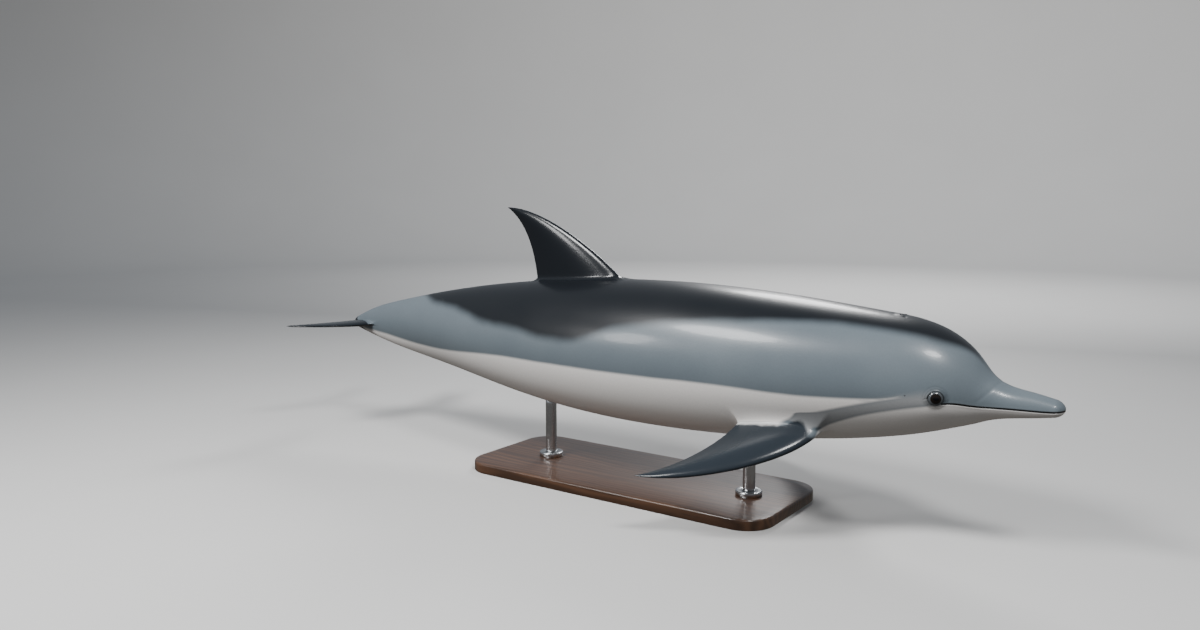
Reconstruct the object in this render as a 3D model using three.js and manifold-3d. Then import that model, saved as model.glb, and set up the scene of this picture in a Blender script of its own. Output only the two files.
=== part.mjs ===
// Clymene dolphin at life size, a still model on a display stand. Millimetres, +Z up, +X towards the head and
// +Y to the animal's left. The origin lies on the floor, under the middle of the whole.

import * as THREE from 'three';
import { mergeVertices } from 'three/addons/utils/BufferGeometryUtils.js';
import Module from 'manifold-3d';

const wasm = await Module();
wasm.setup();

// ---------------------------------------------------------------- driving dimensions
const BODY_LENGTH = 1925; // beak tip to the notch between the flukes
const NOSE_X = 983; // beak tip, which puts the flukes' tips at -983
const AXIS_Z = 330; // the body's axis above the floor
const GAP = 0.3; // air between neighbouring pieces

// The body's sections. s is the distance behind the beak tip. top, side and bottom are the levels of the
// back, of the widest line and of the belly, from the body's axis. half is half the width. ridge is 1 for
// an elliptical section, more where back and belly narrow to a ridge, and less where they are full.
const SECTIONS = [
  { s: 0, top: -12, side: -25, bottom: -38, half: 23, ridge: 0.92 },
  { s: 60, top: 1, side: -26, bottom: -48, half: 29, ridge: 0.92 },
  { s: 110, top: 13, side: -24, bottom: -56, half: 40, ridge: 0.96 },
  { s: 135, top: 31, side: -21, bottom: -63, half: 50, ridge: 1 },
  { s: 155, top: 56, side: -17, bottom: -71, half: 62, ridge: 1.02 },
  { s: 190, top: 88, side: -14, bottom: -83, half: 86, ridge: 1 },
  { s: 240, top: 113, side: -10, bottom: -99, half: 106, ridge: 0.96 },
  { s: 340, top: 131, side: -6, bottom: -124, half: 127, ridge: 0.95 },
  { s: 540, top: 150, side: -5, bottom: -155, half: 154, ridge: 0.95 },
  { s: 780, top: 162, side: -6, bottom: -172, half: 166, ridge: 0.95 },
  { s: 1040, top: 157, side: -6, bottom: -171, half: 158, ridge: 1 },
  { s: 1300, top: 134, side: -6, bottom: -146, half: 122, ridge: 1.1 },
  { s: 1540, top: 97, side: -6, bottom: -107, half: 72, ridge: 1.2 },
  { s: 1740, top: 55, side: -10, bottom: -75, half: 31, ridge: 1.2 },
  { s: 1845, top: 26, side: -14, bottom: -52, half: 19, ridge: 1.1 },
  { s: BODY_LENGTH, top: -8, side: -18, bottom: -30, half: 12, ridge: 1 },
];
const TIP_ROUNDING = 17; // length over which the beak's tip and the tail stock's end close
const TIP_RINGS = 5; // rings over that length
const PAST_END = 10; // how far a cutting block reaches past the body's ends
const BODY_SIDES = 32;
const BODY_RINGS = [ // where a stretch of the body ends and how many rings it has
  { to: 110, rings: 6 },
  { to: 200, rings: 9 },
  { to: 350, rings: 7 },
  { to: 1330, rings: 15 },
  { to: BODY_LENGTH - TIP_ROUNDING, rings: 11 },
];

// Where the body is parted: at the neck, at the root of the tail stock, and on the head along the crease
// between beak and melon, the mouth line and the back of the jaw, given as [s, level].
const NECK = 350;
const TAIL_ROOT = 1330;
const CREASE = [[108, 30], [162, -25.5]];
const MOUTH = [[-5, -27], [60, -29.5], [125, -29], [162, -25.5], [180, -23.5], [191, -23.5]];
const JAW_BACK = [[222, -60], [232, -120], [240, -200]];
const BEAK_BACK_TOP = [48, 100]; // above the crease, where the block that cuts out the beak leans forward
const HEAD_BLOCK_WIDTH = 400; // more than the head's width

// Fins. Each has a leading and a trailing edge that meet at the tip, as cubic Bezier points [s, out, level],
// where out is the distance from the middle plane. thick is the thickness at the root and at the tip.
const DORSAL_FIN = {
  leading: [[970, 0, 146], [1040, 0, 217], [1224, 0, 327], [1336, 0, 323]],
  trailing: [[1238, 0, 122], [1243, 0, 193], [1265, 0, 283], [1336, 0, 323]],
  thick: [36, 6],
};
const FLIPPER = {
  leading: [[430, 78, -94], [418, 186, -151], [629, 316, -201], [735, 325, -197]],
  trailing: [[600, 100, -92], [596, 182, -134], [659, 280, -180], [735, 325, -197]],
  thick: [38, 4.5],
};
const FLUKE = {
  leading: [[1826, 5, -18], [1850, 70, -17], [1862, 158, -13], [1966, 214, -12]],
  trailing: [[1921, 4, -16], [1940, 60, -17], [1958, 140, -14], [1966, 214, -12]],
  thick: [18, 4],
};
const FIN_RINGS = 11;
const FIN_SIDES = 16;
const FOIL_PEAK = 2.598; // makes sqrt(share) * (1 - share) reach 1 at its highest
const EDGE = 0.8; // thickness of a fin's trailing edge
const LAST_RING = 0.985; // share of the fin's length where its last ring is, just before the tip

// Eyes: slightly flattened balls, seen through an opening of 29 mm.
const EYE = { s: 209, angle: 0, radius: 16, depth: 13, sunk: 6.5 };

// Blowhole: a crescent slit on top of the head, with its horns towards the beak. s is the slit's middle.
const BLOWHOLE = { s: 313, radius: 14, slit: 2.5, depth: 7, cutter: 60 };

// Stand: a flat base, and two rods with a collar at the foot.
const BASE = { x: 40, length: 820, width: 330, thick: 24, corner: 70, chamfer: 3 };
const RODS = [
  { name: 'front', s: 640 },
  { name: 'rear', s: 1200 },
];
const ROD_RADIUS = 14;
const ROD_TOP = 270; // above the lowest belly, so that the belly's own shape cuts the rod's top
const COLLAR = { radius: 30, height: 12, chamfer: 3 };
const ROUND_SIDES = 24; // of the rods and collars

const SAME_POINT = 1e-4; // corners closer than this are one

// ---------------------------------------------------------------- curves
// Natural cubic spline through the points (xs, ys), as a function.
function spline(xs, ys) {
  const last = xs.length - 1;
  const bend = new Array(last + 1).fill(0);
  const ratio = new Array(last + 1).fill(0);
  for (let i = 1; i < last; i += 1) {
    const before = xs[i] - xs[i - 1];
    const after = xs[i + 1] - xs[i];
    const turn = 6 * ((ys[i + 1] - ys[i]) / after - (ys[i] - ys[i - 1]) / before);
    const pivot = 2 * (before + after) - before * ratio[i - 1];
    ratio[i] = after / pivot;
    bend[i] = (turn - before * bend[i - 1]) / pivot;
  }
  for (let i = last - 1; i > 0; i -= 1) {
    bend[i] -= ratio[i] * bend[i + 1];
  }
  return (x) => {
    let i = 0;
    while (i < last - 1 && x > xs[i + 1]) {
      i += 1;
    }
    const width = xs[i + 1] - xs[i];
    const a = (xs[i + 1] - x) / width;
    const b = 1 - a;
    const curve = ((a ** 3 - a) * bend[i] + (b ** 3 - b) * bend[i + 1]) * width ** 2 / 6;
    return a * ys[i] + b * ys[i + 1] + curve;
  };
}

// One spline for each of the sections' measures.
const line = Object.fromEntries(['top', 'side', 'bottom', 'half', 'ridge'].map(
  (key) => [key, spline(SECTIONS.map((row) => row.s), SECTIONS.map((row) => row[key]))],
));

// From a distance behind the beak tip, a distance out to the left and a level to a point of the model.
function place(s, out, level) {
  return new THREE.Vector3(NOSE_X - s, out, AXIS_Z + level);
}

// A point of the body's surface, on the left. angle is 0 on the widest line and 90 degrees on the back. Both
// ends of the body close in a quarter ellipse. grow is how far outside the surface the point lies.
function bodyPoint(s, angle, grow = 0) {
  const end = Math.min(s, BODY_LENGTH - s) / TIP_ROUNDING;
  const round = end < 1 ? Math.sqrt(1 - (1 - end) ** 2) : 1;
  const reach = Math.sin(angle) > 0 ? line.top(s) - line.side(s) : line.side(s) - line.bottom(s);
  const across = Math.sign(Math.cos(angle)) * Math.abs(Math.cos(angle)) ** line.ridge(s);
  const out = (line.half(s) * round + grow) * across;
  return place(s, out, line.side(s) + (reach * round + grow) * Math.sin(angle));
}

// Outward direction of the body's surface on the left.
function bodyNormal(s, angle) {
  const step = 0.5;
  const turn = 0.01;
  const along = bodyPoint(s + step, angle).sub(bodyPoint(s - step, angle));
  const around = bodyPoint(s, angle + turn).sub(bodyPoint(s, angle - turn));
  return along.cross(around).normalize();
}

// ---------------------------------------------------------------- solids
// A closed mesh through rings of points, with one point to close each end.
function loft(rings, start, end) {
  const sides = rings[0].length;
  const points = [start, ...rings.flat(), end];
  const faces = [];
  for (let j = 0; j < sides; j += 1) {
    const k = (j + 1) % sides;
    faces.push(0, 1 + k, 1 + j);
    for (let i = 0; i < rings.length - 1; i += 1) {
      const a = 1 + i * sides;
      const b = a + sides;
      faces.push(a + j, a + k, b + k, a + j, b + k, b + j);
    }
    const a = 1 + (rings.length - 1) * sides;
    faces.push(a + j, a + k, points.length - 1);
  }
  const geometry = new THREE.BufferGeometry().setFromPoints(points);
  geometry.setIndex(faces);
  return geometry;
}

// A solid for cutting and joining, made from a closed geometry.
function solid(geometry) {
  const bare = geometry.clone();
  bare.deleteAttribute('normal');
  bare.deleteAttribute('uv');
  const merged = mergeVertices(bare, SAME_POINT);
  const vertProperties = merged.attributes.position.array;
  const triVerts = Uint32Array.from(merged.index.array);
  return new wasm.Manifold(new wasm.Mesh({ numProp: 3, vertProperties, triVerts }));
}

// The named mesh of a solid.
function piece(name, shape, material) {
  const { vertProperties, triVerts } = shape.getMesh();
  const geometry = new THREE.BufferGeometry();
  geometry.setAttribute('position', new THREE.BufferAttribute(vertProperties, 3));
  geometry.setIndex(new THREE.BufferAttribute(triVerts, 1));
  geometry.computeVertexNormals();
  return meshOf(name, geometry, material);
}

function meshOf(name, geometry, material) {
  const mesh = new THREE.Mesh(geometry, material);
  mesh.name = name;
  return mesh;
}

// The whole body from beak tip to the notch, without fins.
function bodyShape(grow = 0) {
  const tip = [];
  for (let i = 1; i <= TIP_RINGS; i += 1) {
    tip.push(TIP_ROUNDING * (1 - Math.cos((i * Math.PI) / (2 * TIP_RINGS))));
  }
  const places = [...tip];
  let from = TIP_ROUNDING;
  for (const stretch of BODY_RINGS) {
    for (let i = 1; i <= stretch.rings; i += 1) {
      places.push(from + ((stretch.to - from) * i) / stretch.rings);
    }
    from = stretch.to;
  }
  for (const inward of tip.slice(0, -1).reverse()) {
    places.push(BODY_LENGTH - inward);
  }
  const rings = places.map((s) => {
    const ring = [];
    for (let j = 0; j < BODY_SIDES; j += 1) {
      ring.push(bodyPoint(s, (-2 * Math.PI * j) / BODY_SIDES, grow));
    }
    return ring;
  });
  return solid(loft(rings, place(0, 0, line.side(0)), place(BODY_LENGTH, 0, line.side(BODY_LENGTH))));
}

// Everything between two distances behind the beak tip.
function slice(from, to) {
  const size = BODY_LENGTH;
  return solid(new THREE.BoxGeometry(to - from, size, size).translate(NOSE_X - (from + to) / 2, 0, AXIS_Z));
}

// A block wider than the head whose outline, seen from the side, is a list of [s, level].
function block(outline) {
  const width = HEAD_BLOCK_WIDTH;
  const shape = new THREE.Shape(outline.map(([s, level]) => new THREE.Vector2(NOSE_X - s, AXIS_Z + level)));
  const geometry = new THREE.ExtrudeGeometry(shape, { depth: width, bevelEnabled: false });
  return solid(geometry.rotateX(Math.PI / 2).translate(0, width / 2, 0));
}

// Half the thickness of a streamlined section, from 0 at the leading edge to 1 a third of the way back and
// to 0 at the trailing edge.
function foil(share) {
  return FOIL_PEAK * Math.sqrt(share) * (1 - share);
}

// An edge of a fin, on the left where side is 1 and on the right where it is -1.
function finEdge(points, side) {
  return new THREE.CubicBezierCurve3(...points.map(([s, out, level]) => place(s, side * out, level)));
}

// A fin lofted from its root to its tip. Its sections run from the leading to the trailing edge.
function finShape({ leading, trailing, thick }, side) {
  const front = finEdge(leading, side);
  const back = finEdge(trailing, side);
  const rings = [];
  for (let i = 0; i <= FIN_RINGS; i += 1) {
    const share = Math.sin((i / FIN_RINGS) * (Math.PI / 2)) * LAST_RING;
    const nose = front.getPoint(share);
    const chord = back.getPoint(share).sub(nose);
    const up = chord.clone().cross(front.getTangent(share).add(back.getTangent(share))).normalize();
    const half = THREE.MathUtils.lerp(thick[0], thick[1], share) / 2;
    const ring = [];
    for (let j = 0; j < FIN_SIDES; j += 1) {
      const turn = (2 * Math.PI * (j + 0.5)) / FIN_SIDES;
      const along = (1 - Math.cos(turn)) / 2;
      const height = Math.sign(Math.sin(turn)) * (half * foil(along) + (EDGE / 2) * along);
      ring.push(nose.clone().addScaledVector(chord, along).addScaledVector(up, height));
    }
    rings.push(ring);
  }
  const root = front.getPoint(0).lerp(back.getPoint(0), 0.5);
  const shape = loft(rings, root, front.getPoint(1));
  const made = solid(shape);
  return made.volume() > 0 ? made : solid(flipped(shape));
}

// The same geometry with its faces turned round.
function flipped(geometry) {
  const turned = geometry.clone();
  turned.setIndex(Array.from(geometry.index.array).reverse());
  return turned;
}

// ---------------------------------------------------------------- materials
function skin(color) {
  return new THREE.MeshStandardMaterial({ color, roughness: 0.32, metalness: 0 });
}

const GREY_SKIN = 0x7b858b;
const DARK_SKIN = 0x2c3036;
const PALE_SKIN = 0xb3afac;
const FLIPPER_SKIN = 0x3a4249;
const eyeball = new THREE.MeshStandardMaterial({ color: 0x0a0a0c, roughness: 0.06, metalness: 0 });
const wood = new THREE.MeshStandardMaterial({ color: 0x4a3425, roughness: 0.45, metalness: 0 });
const steel = new THREE.MeshStandardMaterial({ color: 0xa9abad, roughness: 0.3, metalness: 1 });

// ---------------------------------------------------------------- the animal
function blowhole() {
  const { s, radius, slit, depth, cutter } = BLOWHOLE;
  const crescent = new THREE.Shape();
  crescent.absarc(0, 0, radius, Math.PI / 2, 1.5 * Math.PI, false);
  crescent.absarc(slit, 0, radius, 1.5 * Math.PI, Math.PI / 2, true);
  const settings = { depth: cutter, bevelEnabled: false, curveSegments: 6 };
  const geometry = new THREE.ExtrudeGeometry(crescent, settings);
  return solid(geometry.translate(NOSE_X - s + radius, 0, AXIS_Z + line.top(s) - depth));
}

// An eyeball, a little larger than life by grow when it cuts its own socket.
function eyeShape(side, grow = 0) {
  const { s, angle, radius, depth, sunk } = EYE;
  const outward = bodyNormal(s, angle);
  const centre = bodyPoint(s, angle).addScaledVector(outward, -sunk);
  const ball = new THREE.SphereGeometry(1, 16, 10).scale(radius + grow, radius + grow, depth + grow);
  const turn = new THREE.Quaternion().setFromUnitVectors(new THREE.Vector3(0, 0, 1), outward);
  const geometry = ball.applyQuaternion(turn).translate(centre.x, centre.y, centre.z);
  return solid(side > 0 ? geometry : flipped(geometry.scale(1, -1, 1)));
}

// The jaw's outline from the side, from below the beak along the mouth line and down behind the jaw. grow
// moves it outwards.
function jawOutline(grow = 0) {
  const [, lowest] = JAW_BACK.at(-1);
  const [corner, cornerLevel] = MOUTH.at(-1);
  return [
    [-PAST_END - grow, lowest - grow],
    [-PAST_END - grow, MOUTH[0][1] + grow],
    ...MOUTH.map(([s, level]) => [s, level + grow]),
    [corner + grow, cornerLevel + grow],
    ...JAW_BACK.map(([s, level]) => [s + grow, level - (level === lowest ? grow : 0)]),
  ];
}

// The outline of all that lies in front of the crease.
function beakOutline(grow = 0) {
  const [, lowest] = JAW_BACK.at(-1);
  const [leanTop, highest] = BEAK_BACK_TOP;
  const [creaseTop, creaseFoot] = CREASE;
  return [
    [-PAST_END, lowest],
    [-PAST_END, highest],
    [leanTop + grow, highest],
    [creaseTop[0] + grow, creaseTop[1]],
    [creaseFoot[0] + grow, creaseFoot[1]],
    [creaseFoot[0] + grow, lowest],
  ];
}

function headPieces(front) {
  const upper = front.subtract(block(jawOutline(GAP)));
  let jaw = front.intersect(block(jawOutline()));
  const beak = upper.intersect(block(beakOutline()));
  let head = upper.subtract(block(beakOutline(GAP))).subtract(blowhole());
  for (const side of [1, -1]) {
    head = head.subtract(eyeShape(side, GAP));
    jaw = jaw.subtract(eyeShape(side, GAP));
  }
  return [
    piece('upper_beak', beak, skin(GREY_SKIN)),
    piece('lower_jaw', jaw, skin(PALE_SKIN)),
    piece('head', head, skin(GREY_SKIN)),
  ];
}

function animal() {
  const group = new THREE.Group();
  const body = bodyShape();
  const room = bodyShape(GAP);
  const trunk = body.intersect(slice(NECK + GAP, TAIL_ROOT));
  const tailStock = body.intersect(slice(TAIL_ROOT + GAP, BODY_LENGTH + PAST_END));
  group.add(...headPieces(body.intersect(slice(-PAST_END, NECK))));
  group.add(piece('trunk', trunk, skin(GREY_SKIN)));
  group.add(piece('tail_stock', tailStock, skin(GREY_SKIN)));
  group.add(piece('dorsal_fin', finShape(DORSAL_FIN, 1).subtract(room), skin(DARK_SKIN)));
  for (const [name, side] of [['left', 1], ['right', -1]]) {
    group.add(piece(`flipper_${name}`, finShape(FLIPPER, side).subtract(room), skin(FLIPPER_SKIN)));
    group.add(piece(`fluke_${name}`, finShape(FLUKE, side).subtract(room), skin(DARK_SKIN)));
    group.add(piece(`eye_${name}`, eyeShape(side), eyeball));
  }
  return group;
}

// ---------------------------------------------------------------- the stand
function baseGeometry() {
  const { length, width, thick, corner, chamfer } = BASE;
  const x = length / 2 - chamfer;
  const y = width / 2 - chamfer;
  const plate = new THREE.Shape();
  plate.absarc(x - corner, y - corner, corner, 0, Math.PI / 2, false);
  plate.absarc(corner - x, y - corner, corner, Math.PI / 2, Math.PI, false);
  plate.absarc(corner - x, corner - y, corner, Math.PI, 1.5 * Math.PI, false);
  plate.absarc(x - corner, corner - y, corner, 1.5 * Math.PI, 2 * Math.PI, false);
  const settings = {
    depth: thick - 2 * chamfer,
    curveSegments: 6,
    bevelEnabled: true,
    bevelThickness: chamfer,
    bevelSize: chamfer,
    bevelSegments: 1,
  };
  return new THREE.ExtrudeGeometry(plate, settings).translate(0, 0, chamfer);
}

// A rod from the base up to the belly, whose top is hollowed to the belly's own shape.
function rodShape(x, room) {
  const height = ROD_TOP - BASE.thick;
  const rod = new THREE.CylinderGeometry(ROD_RADIUS, ROD_RADIUS, height, ROUND_SIDES);
  rod.rotateX(Math.PI / 2).translate(x, 0, BASE.thick + height / 2);
  return solid(rod).subtract(room);
}

function collarGeometry() {
  const { radius, height, chamfer } = COLLAR;
  const bore = ROD_RADIUS + GAP;
  const profile = [
    new THREE.Vector2(bore, 0),
    new THREE.Vector2(radius, 0),
    new THREE.Vector2(radius, height - chamfer),
    new THREE.Vector2(radius - chamfer, height),
    new THREE.Vector2(bore, height),
    new THREE.Vector2(bore, 0),
  ];
  return new THREE.LatheGeometry(profile, ROUND_SIDES).rotateX(Math.PI / 2);
}

function stand() {
  const group = new THREE.Group();
  const base = meshOf('stand_base', baseGeometry(), wood);
  base.position.x = BASE.x;
  group.add(base);
  const room = bodyShape(GAP);
  for (const { name, s } of RODS) {
    const x = NOSE_X - s;
    group.add(piece(`stand_rod_${name}`, rodShape(x, room), steel));
    const collar = meshOf(`stand_collar_${name}`, collarGeometry(), steel);
    collar.position.set(x, 0, BASE.thick);
    group.add(collar);
  }
  return group;
}

const model = new THREE.Group();
model.add(animal(), stand());

export default model;
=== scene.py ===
# %% [markdown]
# # A Clymene dolphin on its museum stand
# This lesson dresses the plain solids of a life-size dolphin. The solids come in first and stay where they are.
# Everything made here is in metres, in the same frame: +X runs to the beak, +Y to the animal's left and +Z up.

# %% Frame
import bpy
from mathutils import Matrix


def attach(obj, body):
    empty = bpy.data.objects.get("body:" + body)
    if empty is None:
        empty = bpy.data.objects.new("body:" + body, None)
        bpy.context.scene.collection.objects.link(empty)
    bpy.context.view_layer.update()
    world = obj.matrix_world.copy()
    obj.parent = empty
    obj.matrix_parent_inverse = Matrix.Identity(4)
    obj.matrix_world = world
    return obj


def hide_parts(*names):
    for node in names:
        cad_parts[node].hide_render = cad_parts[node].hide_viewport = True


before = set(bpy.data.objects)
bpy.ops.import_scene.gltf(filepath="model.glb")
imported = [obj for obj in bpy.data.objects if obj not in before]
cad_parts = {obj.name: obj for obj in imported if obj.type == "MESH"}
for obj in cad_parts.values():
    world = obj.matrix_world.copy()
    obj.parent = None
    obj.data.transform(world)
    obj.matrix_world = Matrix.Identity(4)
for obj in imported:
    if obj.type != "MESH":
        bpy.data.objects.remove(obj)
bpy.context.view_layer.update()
print("solids:", sorted(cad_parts))

# %% [markdown]
# ## Tools of the lesson
# Three modules do the work. `bpy` makes objects and materials, `numpy` works out thousands of points at a time,
# and `json` writes the sizes at the end. Shapes are worked out in millimetres, in the animal's own measures:
# how far a point lies behind the beak's tip, how far out from the middle plane, and its level from the body's
# axis. One function turns those into the frame's metres.

# %% Measures
import math

import bpy
import numpy as np

NOSE_X = 0.983  # beak tip in the frame
AXIS_Z = 0.330  # the body's axis above the floor
BODY_LENGTH = 1925.0  # beak tip to the notch between the flukes


def to_frame(points):
    """(behind the tip, out to the left, level) in millimetres to a place in the frame, in metres."""
    points = np.asarray(points, float) / 1000
    return np.stack([NOSE_X - points[..., 0], points[..., 1], AXIS_Z + points[..., 2]], -1)


print("beak tip:", to_frame([0, 0, -25]), "notch:", to_frame([BODY_LENGTH, 0, -18]))

# %% [markdown]
# ## Camera
# The camera stands at the animal's right front, a little higher than its fin, and looks slightly down. A lens
# of 30 mm on a 36 mm sensor keeps the whole animal in the frame. It is aimed with `to_track_quat`, which needs
# no helper object.

# %% Camera
from mathutils import Vector

CAMERA_LENS, CAMERA_SENSOR = 30, 36  # mm
CAMERA_PLACE = (1.3201, -1.9611, 0.7290)
CAMERA_AIM = (-0.0649, 0, 0.3984)


def new_object(name, data):
    """An object in the scene's own collection."""
    made = bpy.data.objects.new(name, data)
    bpy.context.scene.collection.objects.link(made)
    return made


camera = new_object("camera", bpy.data.cameras.new("camera"))
camera.data.lens = CAMERA_LENS
camera.data.sensor_width = CAMERA_SENSOR
camera.location = CAMERA_PLACE
aim = Vector(CAMERA_AIM) - camera.location
camera.rotation_euler = aim.to_track_quat("-Z", "Y").to_euler()
bpy.context.scene.camera = camera
print("camera to aim:", round(aim.length, 3), "m")

# %% [markdown]
# ## Smooth lines through a few sections
# A dolphin is a smooth spindle, so a few measured sections and a curve through each measure are enough. A
# natural cubic spline bends as little as a thin batten does. Blender has curves of its own, but a spline as a
# plain function gives a point anywhere on the body at once, which the fins and folds need later.

# %% Spline


def spline(xs, ys):
    """A natural cubic spline through the points, as a function of an array."""
    xs, ys = np.asarray(xs, float), np.asarray(ys, float)
    gaps = np.diff(xs)
    matrix, turns = np.eye(len(xs)), np.zeros(len(xs))
    for i in range(1, len(xs) - 1):
        matrix[i, i - 1 : i + 2] = gaps[i - 1], 2 * (gaps[i - 1] + gaps[i]), gaps[i]
        turns[i] = 6 * ((ys[i + 1] - ys[i]) / gaps[i] - (ys[i] - ys[i - 1]) / gaps[i - 1])
    bend = np.linalg.solve(matrix, turns)

    def at(x):
        x = np.clip(np.asarray(x, float), xs[0], xs[-1])
        i = np.clip(np.searchsorted(xs, x) - 1, 0, len(xs) - 2)
        a = (xs[i + 1] - x) / gaps[i]
        b = 1 - a
        curve = ((a**3 - a) * bend[i] + (b**3 - b) * bend[i + 1]) * gaps[i] ** 2 / 6
        return a * ys[i] + b * ys[i + 1] + curve

    return at


def ease(x):
    """0 below 0, 1 above 1 and a soft S between."""
    x = np.clip(x, 0, 1)
    return x * x * (3 - 2 * x)


print("a batten over 0, 1, 0 stands", round(float(spline([0, 1, 2], [0, 1, 0])(0.5)), 4), "high at a quarter")

# %% [markdown]
# ## Sections of the body
# A dolphin's body is widest just ahead of the back fin, flattened on the beak, and a tall thin blade on the tail
# stock. Each row below says where a section lies, the levels of its top, widest line and bottom, half its width,
# and how sharp its ridge is: below 1 its sides are full, above 1 they draw in towards the back and the belly.
# Modelling it by hand would do as well, but with a function every later step, from eyes to fins, can ask where
# the skin is and which way is out.

# %% Sections
SECTIONS = np.array(
    [
        # behind, top, side, bottom, half width, ridge
        [0, -12, -25, -38, 23, 0.92],
        [60, 1, -26, -48, 29, 0.92],
        [110, 13, -24, -56, 40, 0.96],
        [135, 31, -21, -63, 50, 1.0],
        [155, 56, -17, -71, 62, 1.02],
        [190, 88, -14, -83, 86, 1.0],
        [240, 113, -10, -99, 106, 0.96],
        [340, 131, -6, -124, 127, 0.95],
        [540, 150, -5, -155, 154, 0.95],
        [780, 162, -6, -172, 166, 0.95],
        [1040, 157, -6, -171, 158, 1.0],
        [1300, 134, -6, -146, 122, 1.1],
        [1540, 97, -6, -107, 72, 1.2],
        [1740, 55, -10, -75, 31, 1.2],
        [1845, 26, -14, -52, 19, 1.1],
        [BODY_LENGTH, -8, -18, -30, 12, 1.0],
    ]
)
TIP_ROUNDING = 17.0  # length over which both ends close
top, side, bottom, half, ridge = (spline(SECTIONS[:, 0], SECTIONS[:, i]) for i in range(1, 6))


def closing(s):
    """1 on the body, and a quarter ellipse down to 0 at both ends."""
    end = np.clip(np.minimum(s, BODY_LENGTH - s) / TIP_ROUNDING, 0, 1)
    return np.sqrt(np.clip(1 - (1 - end) ** 2, 0, 1))


def surface(s, angle):
    """A point of the body. The angle is 0 on the left, 90 degrees on the back and 180 on the right."""
    s, angle = np.broadcast_arrays(np.asarray(s, float), np.asarray(angle, float))
    reach = np.where(np.sin(angle) > 0, top(s) - side(s), side(s) - bottom(s))
    across = np.sign(np.cos(angle)) * np.abs(np.cos(angle)) ** ridge(s)
    out = half(s) * closing(s) * across
    return np.stack([s, out, side(s) + reach * closing(s) * np.sin(angle)], -1)


def unit(vectors):
    """The same directions, each 1 long."""
    return vectors / np.maximum(np.linalg.norm(vectors, axis=-1, keepdims=True), 1e-12)


def outward(s, angle):
    """The direction straight out of the body there."""
    s, angle = np.broadcast_arrays(np.asarray(s, float), np.asarray(angle, float))
    step = 0.5
    inner = np.clip(s, 1.2 * step, BODY_LENGTH - 1.2 * step)
    along = surface(inner + step, angle) - surface(inner - step, angle)
    around = surface(inner, angle + 0.01) - surface(inner, angle - 0.01)
    return unit(np.cross(around, along))


def outside(points):
    """Below 0 inside the body and above 0 outside it, as a share of the section's size."""
    s = np.clip(points[..., 0], 0.01, BODY_LENGTH - 0.01)
    reach = np.where(points[..., 2] > side(s), top(s) - side(s), side(s) - bottom(s)) * closing(s)
    wide = half(s) * closing(s)
    share = np.abs(points[..., 1]) / wide
    return np.hypot(share ** (1 / ridge(s)), (points[..., 2] - side(s)) / reach) - 1


WIDEST_S = 780.0
on_back = outward(WIDEST_S, math.pi / 2)
print("straight up on the back:", on_back.round(3), "| body is", 2 * half(WIDEST_S), "mm wide")

# %% [markdown]
# ## Mouth line
# The mouth runs back from the beak's tip almost level, then climbs a little and ends just below the eye, which
# gives the animal its fixed smile. Nine points and a spline hold the line. It is worked out before the mesh,
# because the mesh has to follow it: a groove is only as clean as the rows of points beside it.

# %% Mouth line
MOUTH = np.array(
    [
        # behind, level
        [0, -26.3],
        [12, -27.6],
        [33, -29],
        [62, -29.5],
        [108, -29.5],
        [146, -28.2],
        [164, -25.5],
        [178, -23.2],
        [199, -23.1],
    ]
)
MOUTH_END = 199.0
mouth_level = spline(MOUTH[:, 0], MOUTH[:, 1])


def mouth_angle(s):
    """The mouth line's angle below the widest line."""
    s = np.clip(s, 0, MOUTH_END + 6)
    share = (mouth_level(s) - side(s)) / (side(s) - bottom(s))
    return np.arcsin(np.clip(share, -0.6, 0.6))


print("mouth line, degrees:", np.degrees(mouth_angle(np.array([0, 60, 120, MOUTH_END]))).round(1))

# %% [markdown]
# ## A net of rings and columns over the body
# The real skin runs without a seam from beak to flukes, so it is one mesh. Its net has rings across the body and
# columns along it. Rings lie close on the head, where the shape changes fast, and wide on the trunk. On the head
# a bundle of narrow columns follows the mouth line, so that a groove 1 mm wide finds points to bend. A remesh or
# a subdivision would need many more faces to hold the same thin line.

# %% Rings and columns
HALF_COLUMNS = 72
COLUMNS = 2 * HALF_COLUMNS
BESIDE = [0.4, 0.85, 1.4, 2.1, 3.1, 4.6, 7]  # mm from the mouth line, on either side
BUNDLE = np.array([-d for d in reversed(BESIDE)] + [0] + BESIDE)
BUNDLE_MIDDLE = 40  # the column that lies on the mouth line
TIP_RINGS = 10
HEAD_END, TRUNK_START = 244, 340  # the bundle spreads out between these
STRETCHES = [(250, 1.6), (350, 3.0), (1880, 7.0), (BODY_LENGTH - TIP_ROUNDING, 4.0)]  # up to, ring spacing


def ring_places():
    """Where the rings lie behind the tip, closer together in both rounded ends."""
    end = TIP_ROUNDING * (1 - np.cos(np.linspace(0, math.pi / 2, TIP_RINGS + 1)))[1:]
    places, start = [end], TIP_ROUNDING
    for stop, gap in STRETCHES:
        count = round((stop - start) / gap)
        places.append(start + (stop - start) * np.arange(1, count + 1) / count)
        start = stop
    places.append(BODY_LENGTH - end[:-1][::-1])
    return np.concatenate(places)


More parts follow.
